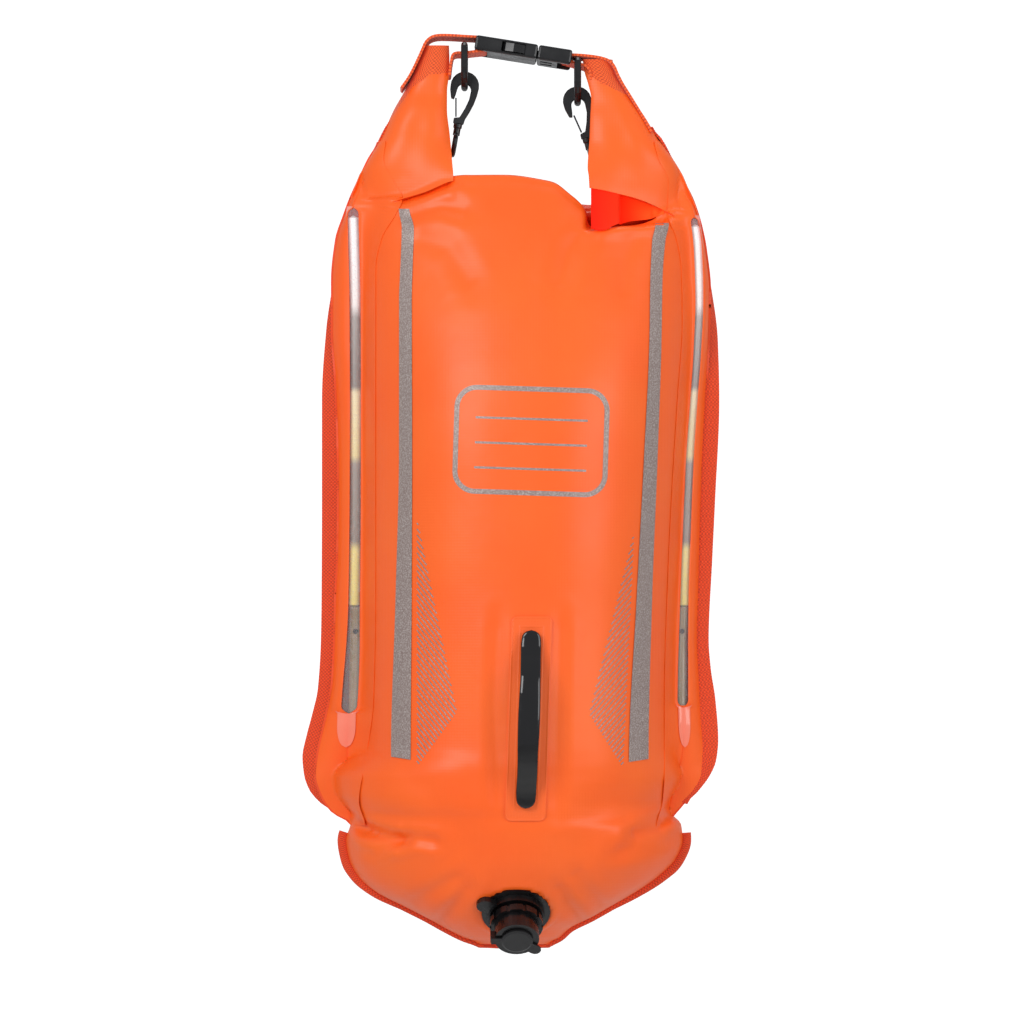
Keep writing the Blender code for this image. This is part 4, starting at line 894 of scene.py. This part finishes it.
# %% Closure straps
loop_matrix = Matrix.Rotation(math.radians(9), 4, "Y") @ Matrix.Rotation(math.radians(-4), 4, "X")
buckle_length = 0.073
bar_place = (buckle_length / 2 - 0.0052, 0.0055)
over_rows = {-1: ((-1.156, -0.516), (-1.078, -0.358), (-1.004, -0.096), (-0.979, 0.012),
                  (-0.916, 0.068), (-0.762, 0.092), (-0.603, 0.106)),
             1: ((1.450, -0.540), (1.310, -0.366), (1.178, -0.210), (1.035, -0.045), (0.945, 0.110),
                 (0.829, 0.152), (0.626, 0.148))}
under_rows = {-1: ((-0.520, 0.002), (-0.603, -0.023), (-0.685, -0.033), (-0.734, -0.071),
                   (-0.737, -0.164), (-0.731, -0.300)),
              1: ((0.493, 0.018), (0.568, 0.008), (0.644, 0.005), (0.696, -0.036),
                  (0.703, -0.115))}
strap_thickness, strap_half_width = 0.0018, 0.015
for side, label, body in ((-1, "left", "bag"), (1, "right", "right_end")):
    line = [(x * buckle_length, z * buckle_length) for x, z in over_rows[side]]
    radius = 0.0021 + 0.0006 + strap_thickness / 2
    for i in range(9):
        angle = math.radians(90 + side * 180 * i / 8)
        line.append((side * bar_place[0] + radius * math.cos(angle),
                     bar_place[1] + radius * math.sin(angle)))
    line += [(x * buckle_length, z * buckle_length) for x, z in under_rows[side]]
    route = smooth_route([Vector((x, 0, z)) for x, z in line], 2)
    turn = loop_matrix.to_3x3()
    stations = []
    for i, point in enumerate(route):
        along = (route[min(i + 1, len(route) - 1)] - route[max(i - 1, 0)]).normalized()
        facing = Vector((0, 1, 0)).cross(along)
        stations.append((turn @ (point - facing * strap_thickness / 2),
                         turn @ Vector((0, strap_half_width, 0)), turn @ facing))
    bm = strap_skin(stations, strap_thickness, 0.0021, 0.0003, 14)
    finish_piece(bm, "closure_strap_" + label, strap_weave, body,
                 ("closure_webbing_" + label,), "webbing", 50)

# %% [markdown]
# Round the bottom lobes the binding is a narrow folded strip that covers the weld.

# %% Bottom binding
heights = [0.855 + 0.145 * i / 40 for i in range(41)]
bottom_line = [Vector((bag_x(bag_edges(h)[0]), 0, bag_z(h))) for h in heights]
bottom_line += [Vector((bag_x(bag_edges(h)[1]), 0, bag_z(h))) for h in reversed(heights)]
bottom_line = smooth_route(bottom_line, 1)


def binding_point(around, along):
    """Point on the folded binding: a rounded flat section with fine ribs."""
    place = along * (len(bottom_line) - 1)
    i = min(len(bottom_line) - 2, int(place))
    point = bottom_line[i].lerp(bottom_line[i + 1], place - i)
    along_line = bottom_line[min(i + 2, len(bottom_line) - 1)] - bottom_line[max(i - 1, 0)]
    outward = Vector((0, 1, 0)).cross(along_line).normalized()
    if outward.dot(point - Vector((0, 0, bag_z(0.8)))) < 0:
        outward = -outward
    angle = math.tau * around
    rib = 1 - 0.05 * (0.5 + 0.5 * math.cos(along * math.tau * 170))
    middle = max(0.0, 1 - abs(2 * along - 1) / 0.7)
    half_width = 0.0036 - 0.0016 * min(1.0, middle * 2)
    across = rounded(math.cos(angle), 0.6) * half_width * rib
    depth = rounded(math.sin(angle), 0.6) * 0.0017 * rib
    return point + outward * (half_width - 0.0006 + across) + Vector((0, depth, 0))


finish_piece(tube_skin(14, 680, binding_point, 0.33, 0.016), "bottom_edge_binding", edge_weave,
             "bag", ("bottom_binding",), "webbing", 50)

# %% [markdown]
# Some pieces lie on the cloth. A ray from the camera through a pixel finds the cloth behind it,
# so such a piece can be drawn in the photograph's pixels and still follow every crease.

# %% Rays to the cloth
bpy.context.view_layer.update()
cloth_trees = [BVHTree.FromObject(piece, bpy.context.evaluated_depsgraph_get())
               for piece in (front_cell, horns[-1], horns[1])]
eye = camera.location.copy()


def cloth_hit(across, down, trees):
    """Nearest place on the cloth behind a pixel and its direction, or None."""
    hits = []
    for aside in (0.0, 0.06, -0.09, 0.15):
        ray = (in_plane(across + aside, down + aside * 0.7) - eye).normalized()
        hits = [hit for hit in (tree.ray_cast(eye, ray) for tree in trees) if hit[0]]
        if hits:
            break
    if not hits:
        return None
    place, normal, index, distance = min(hits, key=lambda hit: hit[3])
    return place, normal if normal.y < 0 else -normal


def on_cloth(across, down, lift=0.0002):
    """Place on the cloth behind a pixel, raised by a thickness."""
    hit = cloth_hit(across, down, cloth_trees)
    return hit[0] + hit[1] * lift if hit else in_plane(across, down)


# %% [markdown]
# Below the right hem the cloth is pleated, and light that has passed through the cloth makes the
# pocket glow red in its shade. A sheet laid in the pocket carries this as painted shade and glow,
# deep red at its fold and paler outwards.

# %% Pleat pocket
pocket_top = ((590.5, 184), (610, 188), (630, 193), (650, 200), (664, 208))
pocket_foot = ((590.5, 231.0), (598, 233.2), (605, 232.4), (612, 228.4), (630, 222), (650, 219.5),
               (664, 215))


def pocket_point(u, v):
    """Place in the pocket: from the cell's crease up and back behind the hem."""
    across = pocket_top[0][0] + u * (pocket_top[-1][0] - pocket_top[0][0])
    top, foot = (smooth_share(line, across) for line in (pocket_top, pocket_foot))
    down = foot + (top - foot) * v
    low = cloth_hit(across, foot + 1, cloth_trees[:1])
    hem = cloth_hit(across, top - 3, cloth_trees[2:3])
    low_y = low[0].y if low else -0.010
    hem_y = hem[0].y + 0.0025 if hem else -0.012
    y = low_y + (hem_y - low_y) * v + 0.004 * math.sin(math.pi * v)
    cell = cloth_hit(across, down, cloth_trees[:1])
    if cell:
        y = min(y, cell[0].y - 0.0003)
    point = in_plane(across, down)
    return Vector((point.x, y, point.z))


bm = grid_skin(40, 24, pocket_point)
bmesh.ops.recalc_face_normals(bm, faces=bm.faces[:])
sheet_piece(bm, 0.0002, "pleat_painted_shade_glow", painted_pleat_shade_glow, "both")

# %% [markdown]
# A light tube lies along each side in a cover of the bag's own cloth. The cover runs from the
# webbing over the tube to the cell, and a long slot with round ends shows the tube through clear
# film. The slot is cut by leaving the middle columns of the cover's grid out between its ends.

# %% Tube covers
cover_outer = {
    -1: ((140, 379), (160, 369), (182, 358.5), (200, 350.5), (215, 345), (240, 337), (280, 333),
         (330, 333), (380, 336), (430, 338), (480, 339), (560, 338), (600, 336), (640, 335),
         (680, 333), (700, 330), (720, 326), (750, 319), (775, 316), (795, 322), (812, 334),
         (824, 352)),
    1: ((140, 661), (160, 671.5), (182, 683), (200, 692), (225, 700), (250, 705), (290, 709),
        (330, 708), (400, 705), (460, 702), (520, 700), (600, 698), (640, 697), (680, 699),
        (720, 701), (750, 703), (772, 702), (790, 694), (806, 680), (824, 668))}
cover_inner = {
    -1: ((140, 386), (160, 384), (182, 394), (200, 403), (216, 396), (240, 382), (270, 376),
         (400, 376), (600, 376), (700, 374), (760, 366), (800, 360), (824, 366)),
    1: ((140, 654), (160, 658), (182, 668), (214, 667), (240, 676), (270, 681), (320, 682),
        (400, 677), (480, 672), (560, 668), (700, 664), (760, 664), (800, 662), (824, 656))}
slot_centre = {
    -1: ((140, 382), (182, 364), (208, 354), (217, 353.5), (240, 354), (300, 355.3), (400, 355.7),
         (500, 355.5), (600, 354.5), (640, 353.5), (700, 350), (740, 347), (824, 350)),
    1: ((140, 657), (182, 677), (208, 691), (217, 693.5), (250, 697.5), (300, 699), (350, 697),
        (400, 693.5), (460, 689.5), (530, 686.5), (600, 684), (700, 682.5), (740, 683), (824, 668))}
slot_half = {-1: ((182, 5.6), (400, 5.5), (600, 5.8), (700, 8.0), (824, 8.0)),
             1: ((182, 4.2), (400, 3.8), (600, 4.2), (700, 5.4), (824, 5.4))}
slot_ends = {-1: (209, 712), 1: (218, 706)}
cover_top, cover_foot = 142, 824
tube_front = 0.0139
seam_y, hindmost_y = -0.0030, -0.0026
cloth_gap = 0.0002


def slot_width(side, down):
    """Half the slot's width in pixels, rounded to nothing at its ends."""
    first, last = slot_ends[side]
    if not first < down < last:
        return 0.0
    near = min(down - first, last - down)
    rounding = 7.0
    share = math.sqrt(1 - (1 - near / rounding) ** 2) if near < rounding else 1.0
    return smooth_share(slot_half[side], down) * share


def cover_place(side, part, share, down):
    """Point on the cover: part 0 lies outside the slot, 1 in it and 2 between slot and cell."""
    outer, inner, middle = (smooth_share(table[side], down)
                            for table in (cover_outer, cover_inner, slot_centre))
    half = slot_width(side, down)
    near_edge, far_edge = middle + side * half, middle - side * half
    first, last = ((outer, near_edge), (near_edge, far_edge), (far_edge, inner))[part]
    across = first + (last - first) * share
    point = in_plane(across, down)
    crown = seam_y - (tube_front + seam_y) * unit((815 - down) / 90)
    if part == 0:
        y = seam_y + (crown - seam_y) * math.sin(math.pi / 2 * share) ** 0.8
    elif part == 1:
        y = crown - 0.0004 * math.sin(math.pi * share)
    else:
        meet = on_cloth(inner, down).y
        slope = (on_cloth(inner - side * 3, down).y - meet) / 3 * abs(inner - far_edge)
        y = hermite(share, crown, 0.0, meet, max(-0.03, min(0.0, slope)))
    lip = abs(abs(across - middle) - half) if half else 9
    y -= 0.0005 * math.exp(-(lip / 1.6) ** 2)
    rumple = 0.0006 * noise.noise(Vector((down * 0.03, across * 0.05, side)))
    y += rumple * (math.sin(math.pi * share) if part == 2 else 1.0)
    over_tube = unit((down - slot_ends[side][0] + 34) / 34)
    if over_tube < 1:
        under = cloth_hit(across, down, cloth_trees[:3])
        flat = under[0].y - cloth_gap if under else seam_y
        y = flat + (min(flat, y) - flat) * eased(over_tube)
    elif down > 700:
        under = cloth_hit(across, down, cloth_trees[:1])
        y = min(y, under[0].y - cloth_gap) if under else y
    return Vector((point.x, min(y, hindmost_y), point.z))


def make_cover(side, name, node, body):
    """The cloth over one light tube, with its slot."""
    parts = (12, 4, 16)
    columns, rows = sum(parts), 350
    bm = bmesh.new()
    bmesh.ops.create_grid(bm, x_segments=columns, y_segments=rows, size=0.5)

    def spot(x, y):
        """Part, share and pixel row of a place on the flat grid."""
        column = (x + 0.5) * columns
        down = cover_foot + (cover_top - cover_foot) * (y + 0.5)
        for part, count in enumerate(parts):
            if column <= count + 1e-4 or part == 2:
                return part, column / count, down
            column -= count

    opened = []
    for face in bm.faces:
        centre = face.calc_center_median()
        part, share, down = spot(centre.x, centre.y)
        if part == 1 and slot_width(side, down) > 0.1:
            opened.append(face)
    for vert in bm.verts:
        part, share, down = spot(vert.co.x, vert.co.y)
        vert.co = cover_place(side, part, share, down)
    bmesh.ops.delete(bm, geom=opened, context="FACES")
    bmesh.ops.remove_doubles(bm, verts=bm.verts[:], dist=0.00003)
    bmesh.ops.recalc_face_normals(bm, faces=bm.faces[:])
    if sum(f.normal.y for f in bm.faces) > 0:
        bmesh.ops.reverse_faces(bm, faces=bm.faces[:])
    thicken(bm, cover_thickness)
    return finish_piece(bm, name, bag_nylon, body, (node,), crease_angle=70)


def back_place(side, u, v):
    """Point on the sleeve's flat back, from the webbing to just behind the cell's edge."""
    down = cover_foot + (cover_top - cover_foot) * v
    outer = smooth_share(cover_outer[side], down) + side * 2
    inner = smooth_share(cover_inner[side], down) - side * 4
    point = in_plane(outer + (inner - outer) * u, down)
    return Vector((point.x, -0.0022 - 0.0003 * math.sin(v * 60), point.z))


cover_thickness = 0.0004
for side, label, body in sides:
    bm = grid_skin(10, 160, lambda u, v, s=side: back_place(s, u, v))
    sheet_piece(bm, cover_thickness, "sleeve_back_" + label, roll_nylon, body)
covers = [make_cover(side, "tube_cover_" + label, "sleeve_" + label, body)
          for side, label, body in sides]
cloth_trees += [BVHTree.FromObject(cover, bpy.context.evaluated_depsgraph_get()) for cover in covers]

# %% [markdown]
# The film behind the slot is clear. Below the tube's end it lies on the orange cloth, where it
# looks like a paler salmon tab with a round foot.

# %% Window film and light tubes
tube_foot, tab_foot = 607, 747


def slot_strip(side, u, v, past, wider):
    """Place in a strip behind the slot that is so many pixels longer at each end and wider."""
    first, last = slot_ends[side]
    down = first - past + v * (last - first + 2 * past)
    half = smooth_share(slot_half[side], down) + wider
    return in_plane(smooth_share(slot_centre[side], down) + (2 * u - 1) * half, down)


def film_point(side, u, v):
    """Clear film just behind the slot."""
    arch = 0.0004 * (2 * u - 1) ** 2
    return slot_strip(side, u, v, 2, 1.5) + Vector((0, -tube_front + 0.0010 + arch, 0))


def lining_point(side, u, v):
    """The sleeve's back wall, which shows red at the slot's top and beside the tube."""
    return slot_strip(side, u, v, 6, 1.0) + Vector((0, -0.0034 + 0.0004 * math.sin(v * 40), 0))


def tab_point(side, u, v):
    """Salmon tab below the tube, round at its foot and hollow at its head."""
    middle, half = {-1: (347.3, 9.2), 1: (683.5, 5.8)}[side]
    half *= math.sqrt(max(0.0, 1 - (max(0.0, v - 0.45) / 0.55) ** 2))
    across = middle + side * v + (2 * u - 1) * half
    head = slot_ends[side][1] - 2.5 * (2 * u - 1) ** 2 + 1
    down = head + (tab_foot - head) * v
    centre, inner, outer = (smooth_share(table[side], down)
                            for table in (slot_centre, cover_inner, cover_outer))
    if (across - centre) * side < 0:
        part, share = 2, (across - centre) / (inner - centre)
    else:
        part, share = 0, (across - outer) / (centre - outer)
    return cover_place(side, part, unit(share), down) - Vector((0, 0.0005, 0))


for side, label, body in sides:
    for name, columns, rows, place, material, slot in (
            ("sleeve_lining_", 4, 80, lining_point, sleeve_shade, "coated_fabric"),
            ("window_film_", 6, 120, film_point, window_film, "film"),
            ("film_tab_", 12, 16, tab_point, film_tab, "film")):
        bm = grid_skin(columns, rows, lambda u, v, s=side, p=place: p(s, u, v))
        if place == tab_point:
            bmesh.ops.remove_doubles(bm, verts=bm.verts[:], dist=0.00003)
        sheet_piece(bm, 0.0003, name + label, material, "bag", (), slot)
tube_axis_y, tube_radius = -0.0082, 0.0040


def tube_point(side, around, along):
    """Point on a light tube, round and closed at both ends."""
    first, last = slot_ends[side][0] + 7, tube_foot
    down = first + (last - first) * unit(along)
    middle = in_plane(smooth_share(slot_centre[side], down), down)
    near = min(along, 1 - along) * (last - first) * pixel_size
    size = tube_radius * math.sqrt(1 - (1 - min(1.0, near / 0.002)) ** 2 * 0.98)
    angle = math.tau * around
    return middle + Vector((math.cos(angle) * size, tube_axis_y + math.sin(angle) * size, 0))


for side, label, body in sides:
    bm = tube_skin(20, 160, lambda u, v, s=side: tube_point(s, u, v), 0.3, 0.025)
    finish_piece(bm, "bright_tube_" + label, painted_glow_tube, "bag",
                 ("light_tube_" + label, "tube_cap_" + label), "light_guide")

# %% [markdown]
# Inside, a liner parts the two cells. It is a flat sheet cut a little inside the bag's outline.

# %% Liner between the cells
liner_low, liner_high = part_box("dry_liner")


def liner_point(u, v):
    """Point on the liner at shares across and up."""
    z = liner_low.z + (liner_high.z - liner_low.z) * v
    left, right = bag_edges(unit((-bag_top_drop - z) / bag_height))
    x = bag_x((right - left) * u + left) * 0.975
    return Vector((max(liner_low.x, min(liner_high.x, x)), 0, z))


bm = grid_skin(40, 90, liner_point)
bm.normal_update()
thicken(bm, 0.0006)
finish_piece(bm, "dry_bag_liner", roll_nylon, replaced=("dry_liner",))

# %% [markdown]
# The handle is moulded in one piece: two flat feet welded to a patch and a raised grip between
# them. Its section is a rounded oblong that is swept along the bag's face. The patch is the
# bag's cloth with a clear welded margin, and a bead outlines the handle's foot.

# %% Handle and patch
handle_top, handle_place, handle_lean = 0.570, 0.048, 0.032
patch_length, patch_width, handle_length = 0.151, 0.030, 0.131
grip_half_width, grip_half_thick = 0.0075, 0.00225
foot_rise, grip_rise = 0.00425, 0.016
handle_rows = ((0.00, 0.0, 0.62), (0.04, 0.0, 0.92), (0.09, 0.05, 1.0), (0.14, 0.24, 1.0),
               (0.20, 0.55, 1.0), (0.27, 0.82, 1.0), (0.36, 0.96, 1.04), (0.50, 1.0, 1.08),
               (0.64, 0.96, 1.04), (0.73, 0.82, 1.0), (0.80, 0.55, 1.0), (0.86, 0.24, 1.0),
               (0.91, 0.05, 1.0), (0.96, 0.0, 0.92), (1.00, 0.0, 0.62))


def on_front(height, place, lift):
    """Point on the front cell's face with its outward direction."""
    across = across_of(height, place)
    normal = cell_normal(-1, height, across)
    return cell_point(-1, height, across) + normal * lift, normal


def handle_centre(down):
    """Centre line of the handle at a share of its length."""
    margin = (patch_length - handle_length) / 2
    height = handle_top + (margin + down * handle_length) / bag_height
    place = handle_place + handle_lean * (1 - down) * 0.9
    rise = smooth_share(handle_rows, down) * grip_rise
    return on_front(height, place, foot_rise + rise)


def handle_point(around, along):
    """Point on the handle's skin, closed round at its two feet."""
    along = unit(along)
    centre, normal = handle_centre(along)
    step = 0.01
    line = handle_centre(min(1.0, along + step))[0] - handle_centre(max(0.0, along - step))[0]
    line.normalize()
    over = line.cross(normal).normalized()
    facing = over.cross(line).normalized()
    round_end = math.sqrt(1 - (1 - unit(min(along, 1 - along) / 0.024)) ** 2)
    half_width = grip_half_width * smooth_share(handle_rows, along, 2) * max(0.02, round_end)
    half_thick = grip_half_thick * (0.35 + 0.65 * round_end)
    angle = math.tau * around
    return (centre + over * rounded(math.cos(angle), 0.55) * half_width
            + facing * rounded(math.sin(angle), 0.55) * half_thick)


finish_piece(tube_skin(40, 150, handle_point, 0.13, 0.04), "moulded_grab_handle", handle_black,
             "bag", ("grab_handle",), "gloss_black", 50)


def patch_point(u, v):
    """Point on the patch: round corners, a raised weld at its rim and one round the handle."""
    end = min(v, 1 - v) * patch_length
    corner = 0.0045
    cut = corner - math.sqrt(corner ** 2 - (corner - end) ** 2) if end < corner else 0.0
    half_width = patch_width / 2 - cut
    height = handle_top + v * patch_length / bag_height
    side_way = (2 * u - 1) * half_width
    place = handle_place + handle_lean * (1 - v) + side_way / bag_half_width
    margin = min(half_width - abs(side_way), end)
    weld = math.exp(-((margin - 0.0008) / 0.0005) ** 2)
    inner = max(abs(side_way) - 0.0085, abs(v - 0.5) * patch_length - 0.0680)
    weld += 0.7 * math.exp(-(inner / 0.0004) ** 2)
    return on_front(height, place, 0.0010 + 0.0004 * weld)[0]


bm = grid_skin(76, 300, patch_point)
bmesh.ops.recalc_face_normals(bm, faces=bm.faces[:])
sheet_piece(bm, 0.0007, "welded_handle_patch", patch_cloth, "bag", ("handle_patch",))

# %% [markdown]
# Each print is a thin film of ink, drawn in the photograph's pixels and laid on the cloth. The
# stripes are raised by half a millimetre and the other prints by a fifth.

# %% Printed stripes
def printed(name, bm):
    """Finish a film of ink."""
    finish_piece(bm, name, grey_ink, crease_angle=70)


stripe_rows = {
    "left": ((209, 399, 409.5), (228, 402, 414), (262, 401, 413), (299, 399.5, 412),
             (450, 399.5, 412.5), (600, 396, 412), (757, 391.5, 411)),
    "right": ((223.5, 655.5, 668.5), (240, 652, 665), (280, 650, 662), (340, 649, 661),
              (459, 643.5, 657), (600, 636, 651.5), (759, 628.5, 648))}


def stripe_point(label, u, v):
    """Place on a stripe, whose foot is cut a little aslant."""
    table = stripe_rows[label]
    down = table[0][0] + v * (table[-1][0] - table[0][0])
    first, last = (smooth_share(table, down, column) for column in (1, 2))
    slant = 3 * v * (u if label == "left" else 1 - u)
    return on_cloth(first + (last - first) * u, down + slant, 0.0005)


for label in stripe_rows:
    printed("stripe_" + label, grid_skin(8, 240, lambda u, v, name=label: stripe_point(name, u, v)))

# %% [markdown]
# Beside each stripe a fan of fine diagonal lines widens and narrows again. Every line is one
# narrow strip that starts on the stripe's side and stops at the fan's outer edge.

# %% Diagonal hatching
def hatch_lines(start, foot, apex, slant, count):
    """Ends of the diagonal lines of one fan: from its upright side to its slanting edges."""
    start, foot, apex, slant = (Vector(pair) for pair in (start, foot, apex, slant))
    lines = []
    for i in range(count):
        top = start + (foot - start) * (i / (count - 1))
        for first, last in ((start, apex), (apex, foot)):
            span, away = last - first, first - top
            cross = slant.x * span.y - slant.y * span.x
            reach = (away.x * span.y - away.y * span.x) / cross
            along = (away.x * slant.y - away.y * slant.x) / cross
            if reach > 1.5 and 0 <= along <= 1:
                lines.append((top, top + slant * reach))
                break
    return lines


fans = {"left": hatch_lines((417, 517), (417, 767), (457, 712), (0.62, 0.785), 43),
        "right": hatch_lines((634, 531), (623, 768), (589, 714), (-0.66, 0.75), 41)}
for label, lines in fans.items():
    bm = bmesh.new()
    for start, end in lines:
        across_line = Vector((end.y - start.y, start.x - end.x)).normalized() * 0.55
        length = (end - start).length
        strip = bmesh.ops.create_grid(bm, x_segments=1, y_segments=max(2, int(length / 2.5)), size=0.5)
        for vert in strip["verts"]:
            spot = start.lerp(end, vert.co.y + 0.5) + across_line * (2 * vert.co.x)
            vert.co = on_cloth(spot.x, spot.y)
    printed("hatching_" + label, bm)
    print(label, "hatching:", len(lines), "lines")

# %% [markdown]
# In the middle of the bag is a plain panel for the owner's name and number: an outline with
# round corners and three ruled lines, left blank.

# %% Owner's panel
def panel_outline(share, width, height, corner):
    """Point on a rectangle with round corners at a share of its way round, about its centre."""
    x, y = width / 2 - corner, height / 2 - corner
    centres = [Vector(pair) for pair in ((x, -y), (x, y), (-x, y), (-x, -y))]
    lengths = (2 * x, corner * math.pi / 2, 2 * y, corner * math.pi / 2) * 2
    target = share * sum(lengths)
    index = 0
    while index < 7 and target > lengths[index]:
        target -= lengths[index]
        index += 1
    turn, in_corner = divmod(index, 2)
    passed = target / lengths[index]
    angle = math.radians(90 * (turn - 1 + in_corner * passed))
    middle = centres[turn] if in_corner else centres[turn - 1].lerp(centres[turn], passed)
    return middle + Vector((math.cos(angle), math.sin(angle))) * corner


panel_centre = (531, 441)
panel_lean = math.radians(1.8)


def leaned(point):
    """Pixel of a point on the panel, which leans a little with the hanging bag."""
    x = point.x * math.cos(panel_lean) - point.y * math.sin(panel_lean)
    y = point.x * math.sin(panel_lean) + point.y * math.cos(panel_lean)
    return panel_centre[0] + x, panel_centre[1] + y


def outline_point(u, v):
    """Place on the panel's outline, 5 pixels wide."""
    size = 5 * (u - 0.5)
    return on_cloth(*leaned(panel_outline(v, 150 + 2 * size, 104 + 2 * size, 20 + size)))


bm = grid_skin(3, 260, outline_point)
bmesh.ops.remove_doubles(bm, verts=bm.verts[:], dist=0.00002)
printed("owner_panel_outline", bm)
bm = bmesh.new()
for row in (-22, 3, 28):
    strip = bmesh.ops.create_grid(bm, x_segments=70, y_segments=1, size=0.5)
    for vert in strip["verts"]:
        vert.co = on_cloth(*leaned(Vector((vert.co.x * 112, row + vert.co.y * 2.2))))
printed("owner_panel_lines", bm)

# %% [markdown]
# The welded cells are padded forms that hold air, and the covers, linings and films are sheets.

# %% [markdown]
# The buoy hangs in plain studio light. Two large soft lamps light it from the upper left and the
# right, and the world fills the rest. The floor and backdrop are one pale curved sheet, which the
# camera sees as white.

# %% Floor, backdrop and lamps
floor_height = -2.1
sweep_profile = [(-9.5, floor_height), (6.2, floor_height), (7.2, floor_height + 0.25),
                 (7.8, floor_height + 1.0), (8.0, floor_height + 2.5), (8.0, 8.0)]
bm = bmesh.new()
row = [bm.verts.new((-9, y, z)) for y, z in sweep_profile]
edges = [bm.edges.new(pair) for pair in zip(row, row[1:])]
made = bmesh.ops.extrude_edge_only(bm, edges=edges)["geom"]
bmesh.ops.translate(bm, verts=only(bmesh.types.BMVert, made), vec=(18, 0, 0))
paper = new_material("white paper sweep", "#F2F2F0", 0.9, Emission_Color=(1, 1, 1, 1))
light_path = add_node(paper, "LightPath").outputs
paper_seen = sums(paper, "MAXIMUM", light_path["Is Camera Ray"], light_path["Is Transmission Ray"])
feed(paper, Emission_Strength=sums(paper, "MULTIPLY", paper_seen, 0.62))
add_mesh(bm, "paper_sweep", paper)


def soft_lamp(name, place, target, size, power):
    """A square area lamp that faces a target."""
    data = bpy.data.lights.new(name, "AREA")
    data.size = size
    data.energy = power
    lamp = bpy.data.objects.new(name, data)
    lamp.location = place
    lamp.rotation_euler = (Vector(target) - Vector(place)).to_track_quat("-Z", "Y").to_euler()
    bpy.context.scene.collection.objects.link(lamp)


middle = (0, 0, -0.34)
soft_lamp("key soft box", (-1.3, -2.3, 0.6), middle, 1.3, 34)
soft_lamp("right soft box", (1.7, -1.8, 0.0), middle, 1.2, 16)
soft_lamp("top strip", (0.2, 0.4, 1.4), middle, 1.0, 9)
world = bpy.data.worlds.new("pale studio")
bpy.context.scene.world = world
world.use_nodes = True
background = world.node_tree.nodes["Background"]
background.inputs["Color"].default_value = (0.93, 0.95, 1.0, 1)
background.inputs["Strength"].default_value = 0.55
bpy.context.scene.view_settings.view_transform = "Standard"
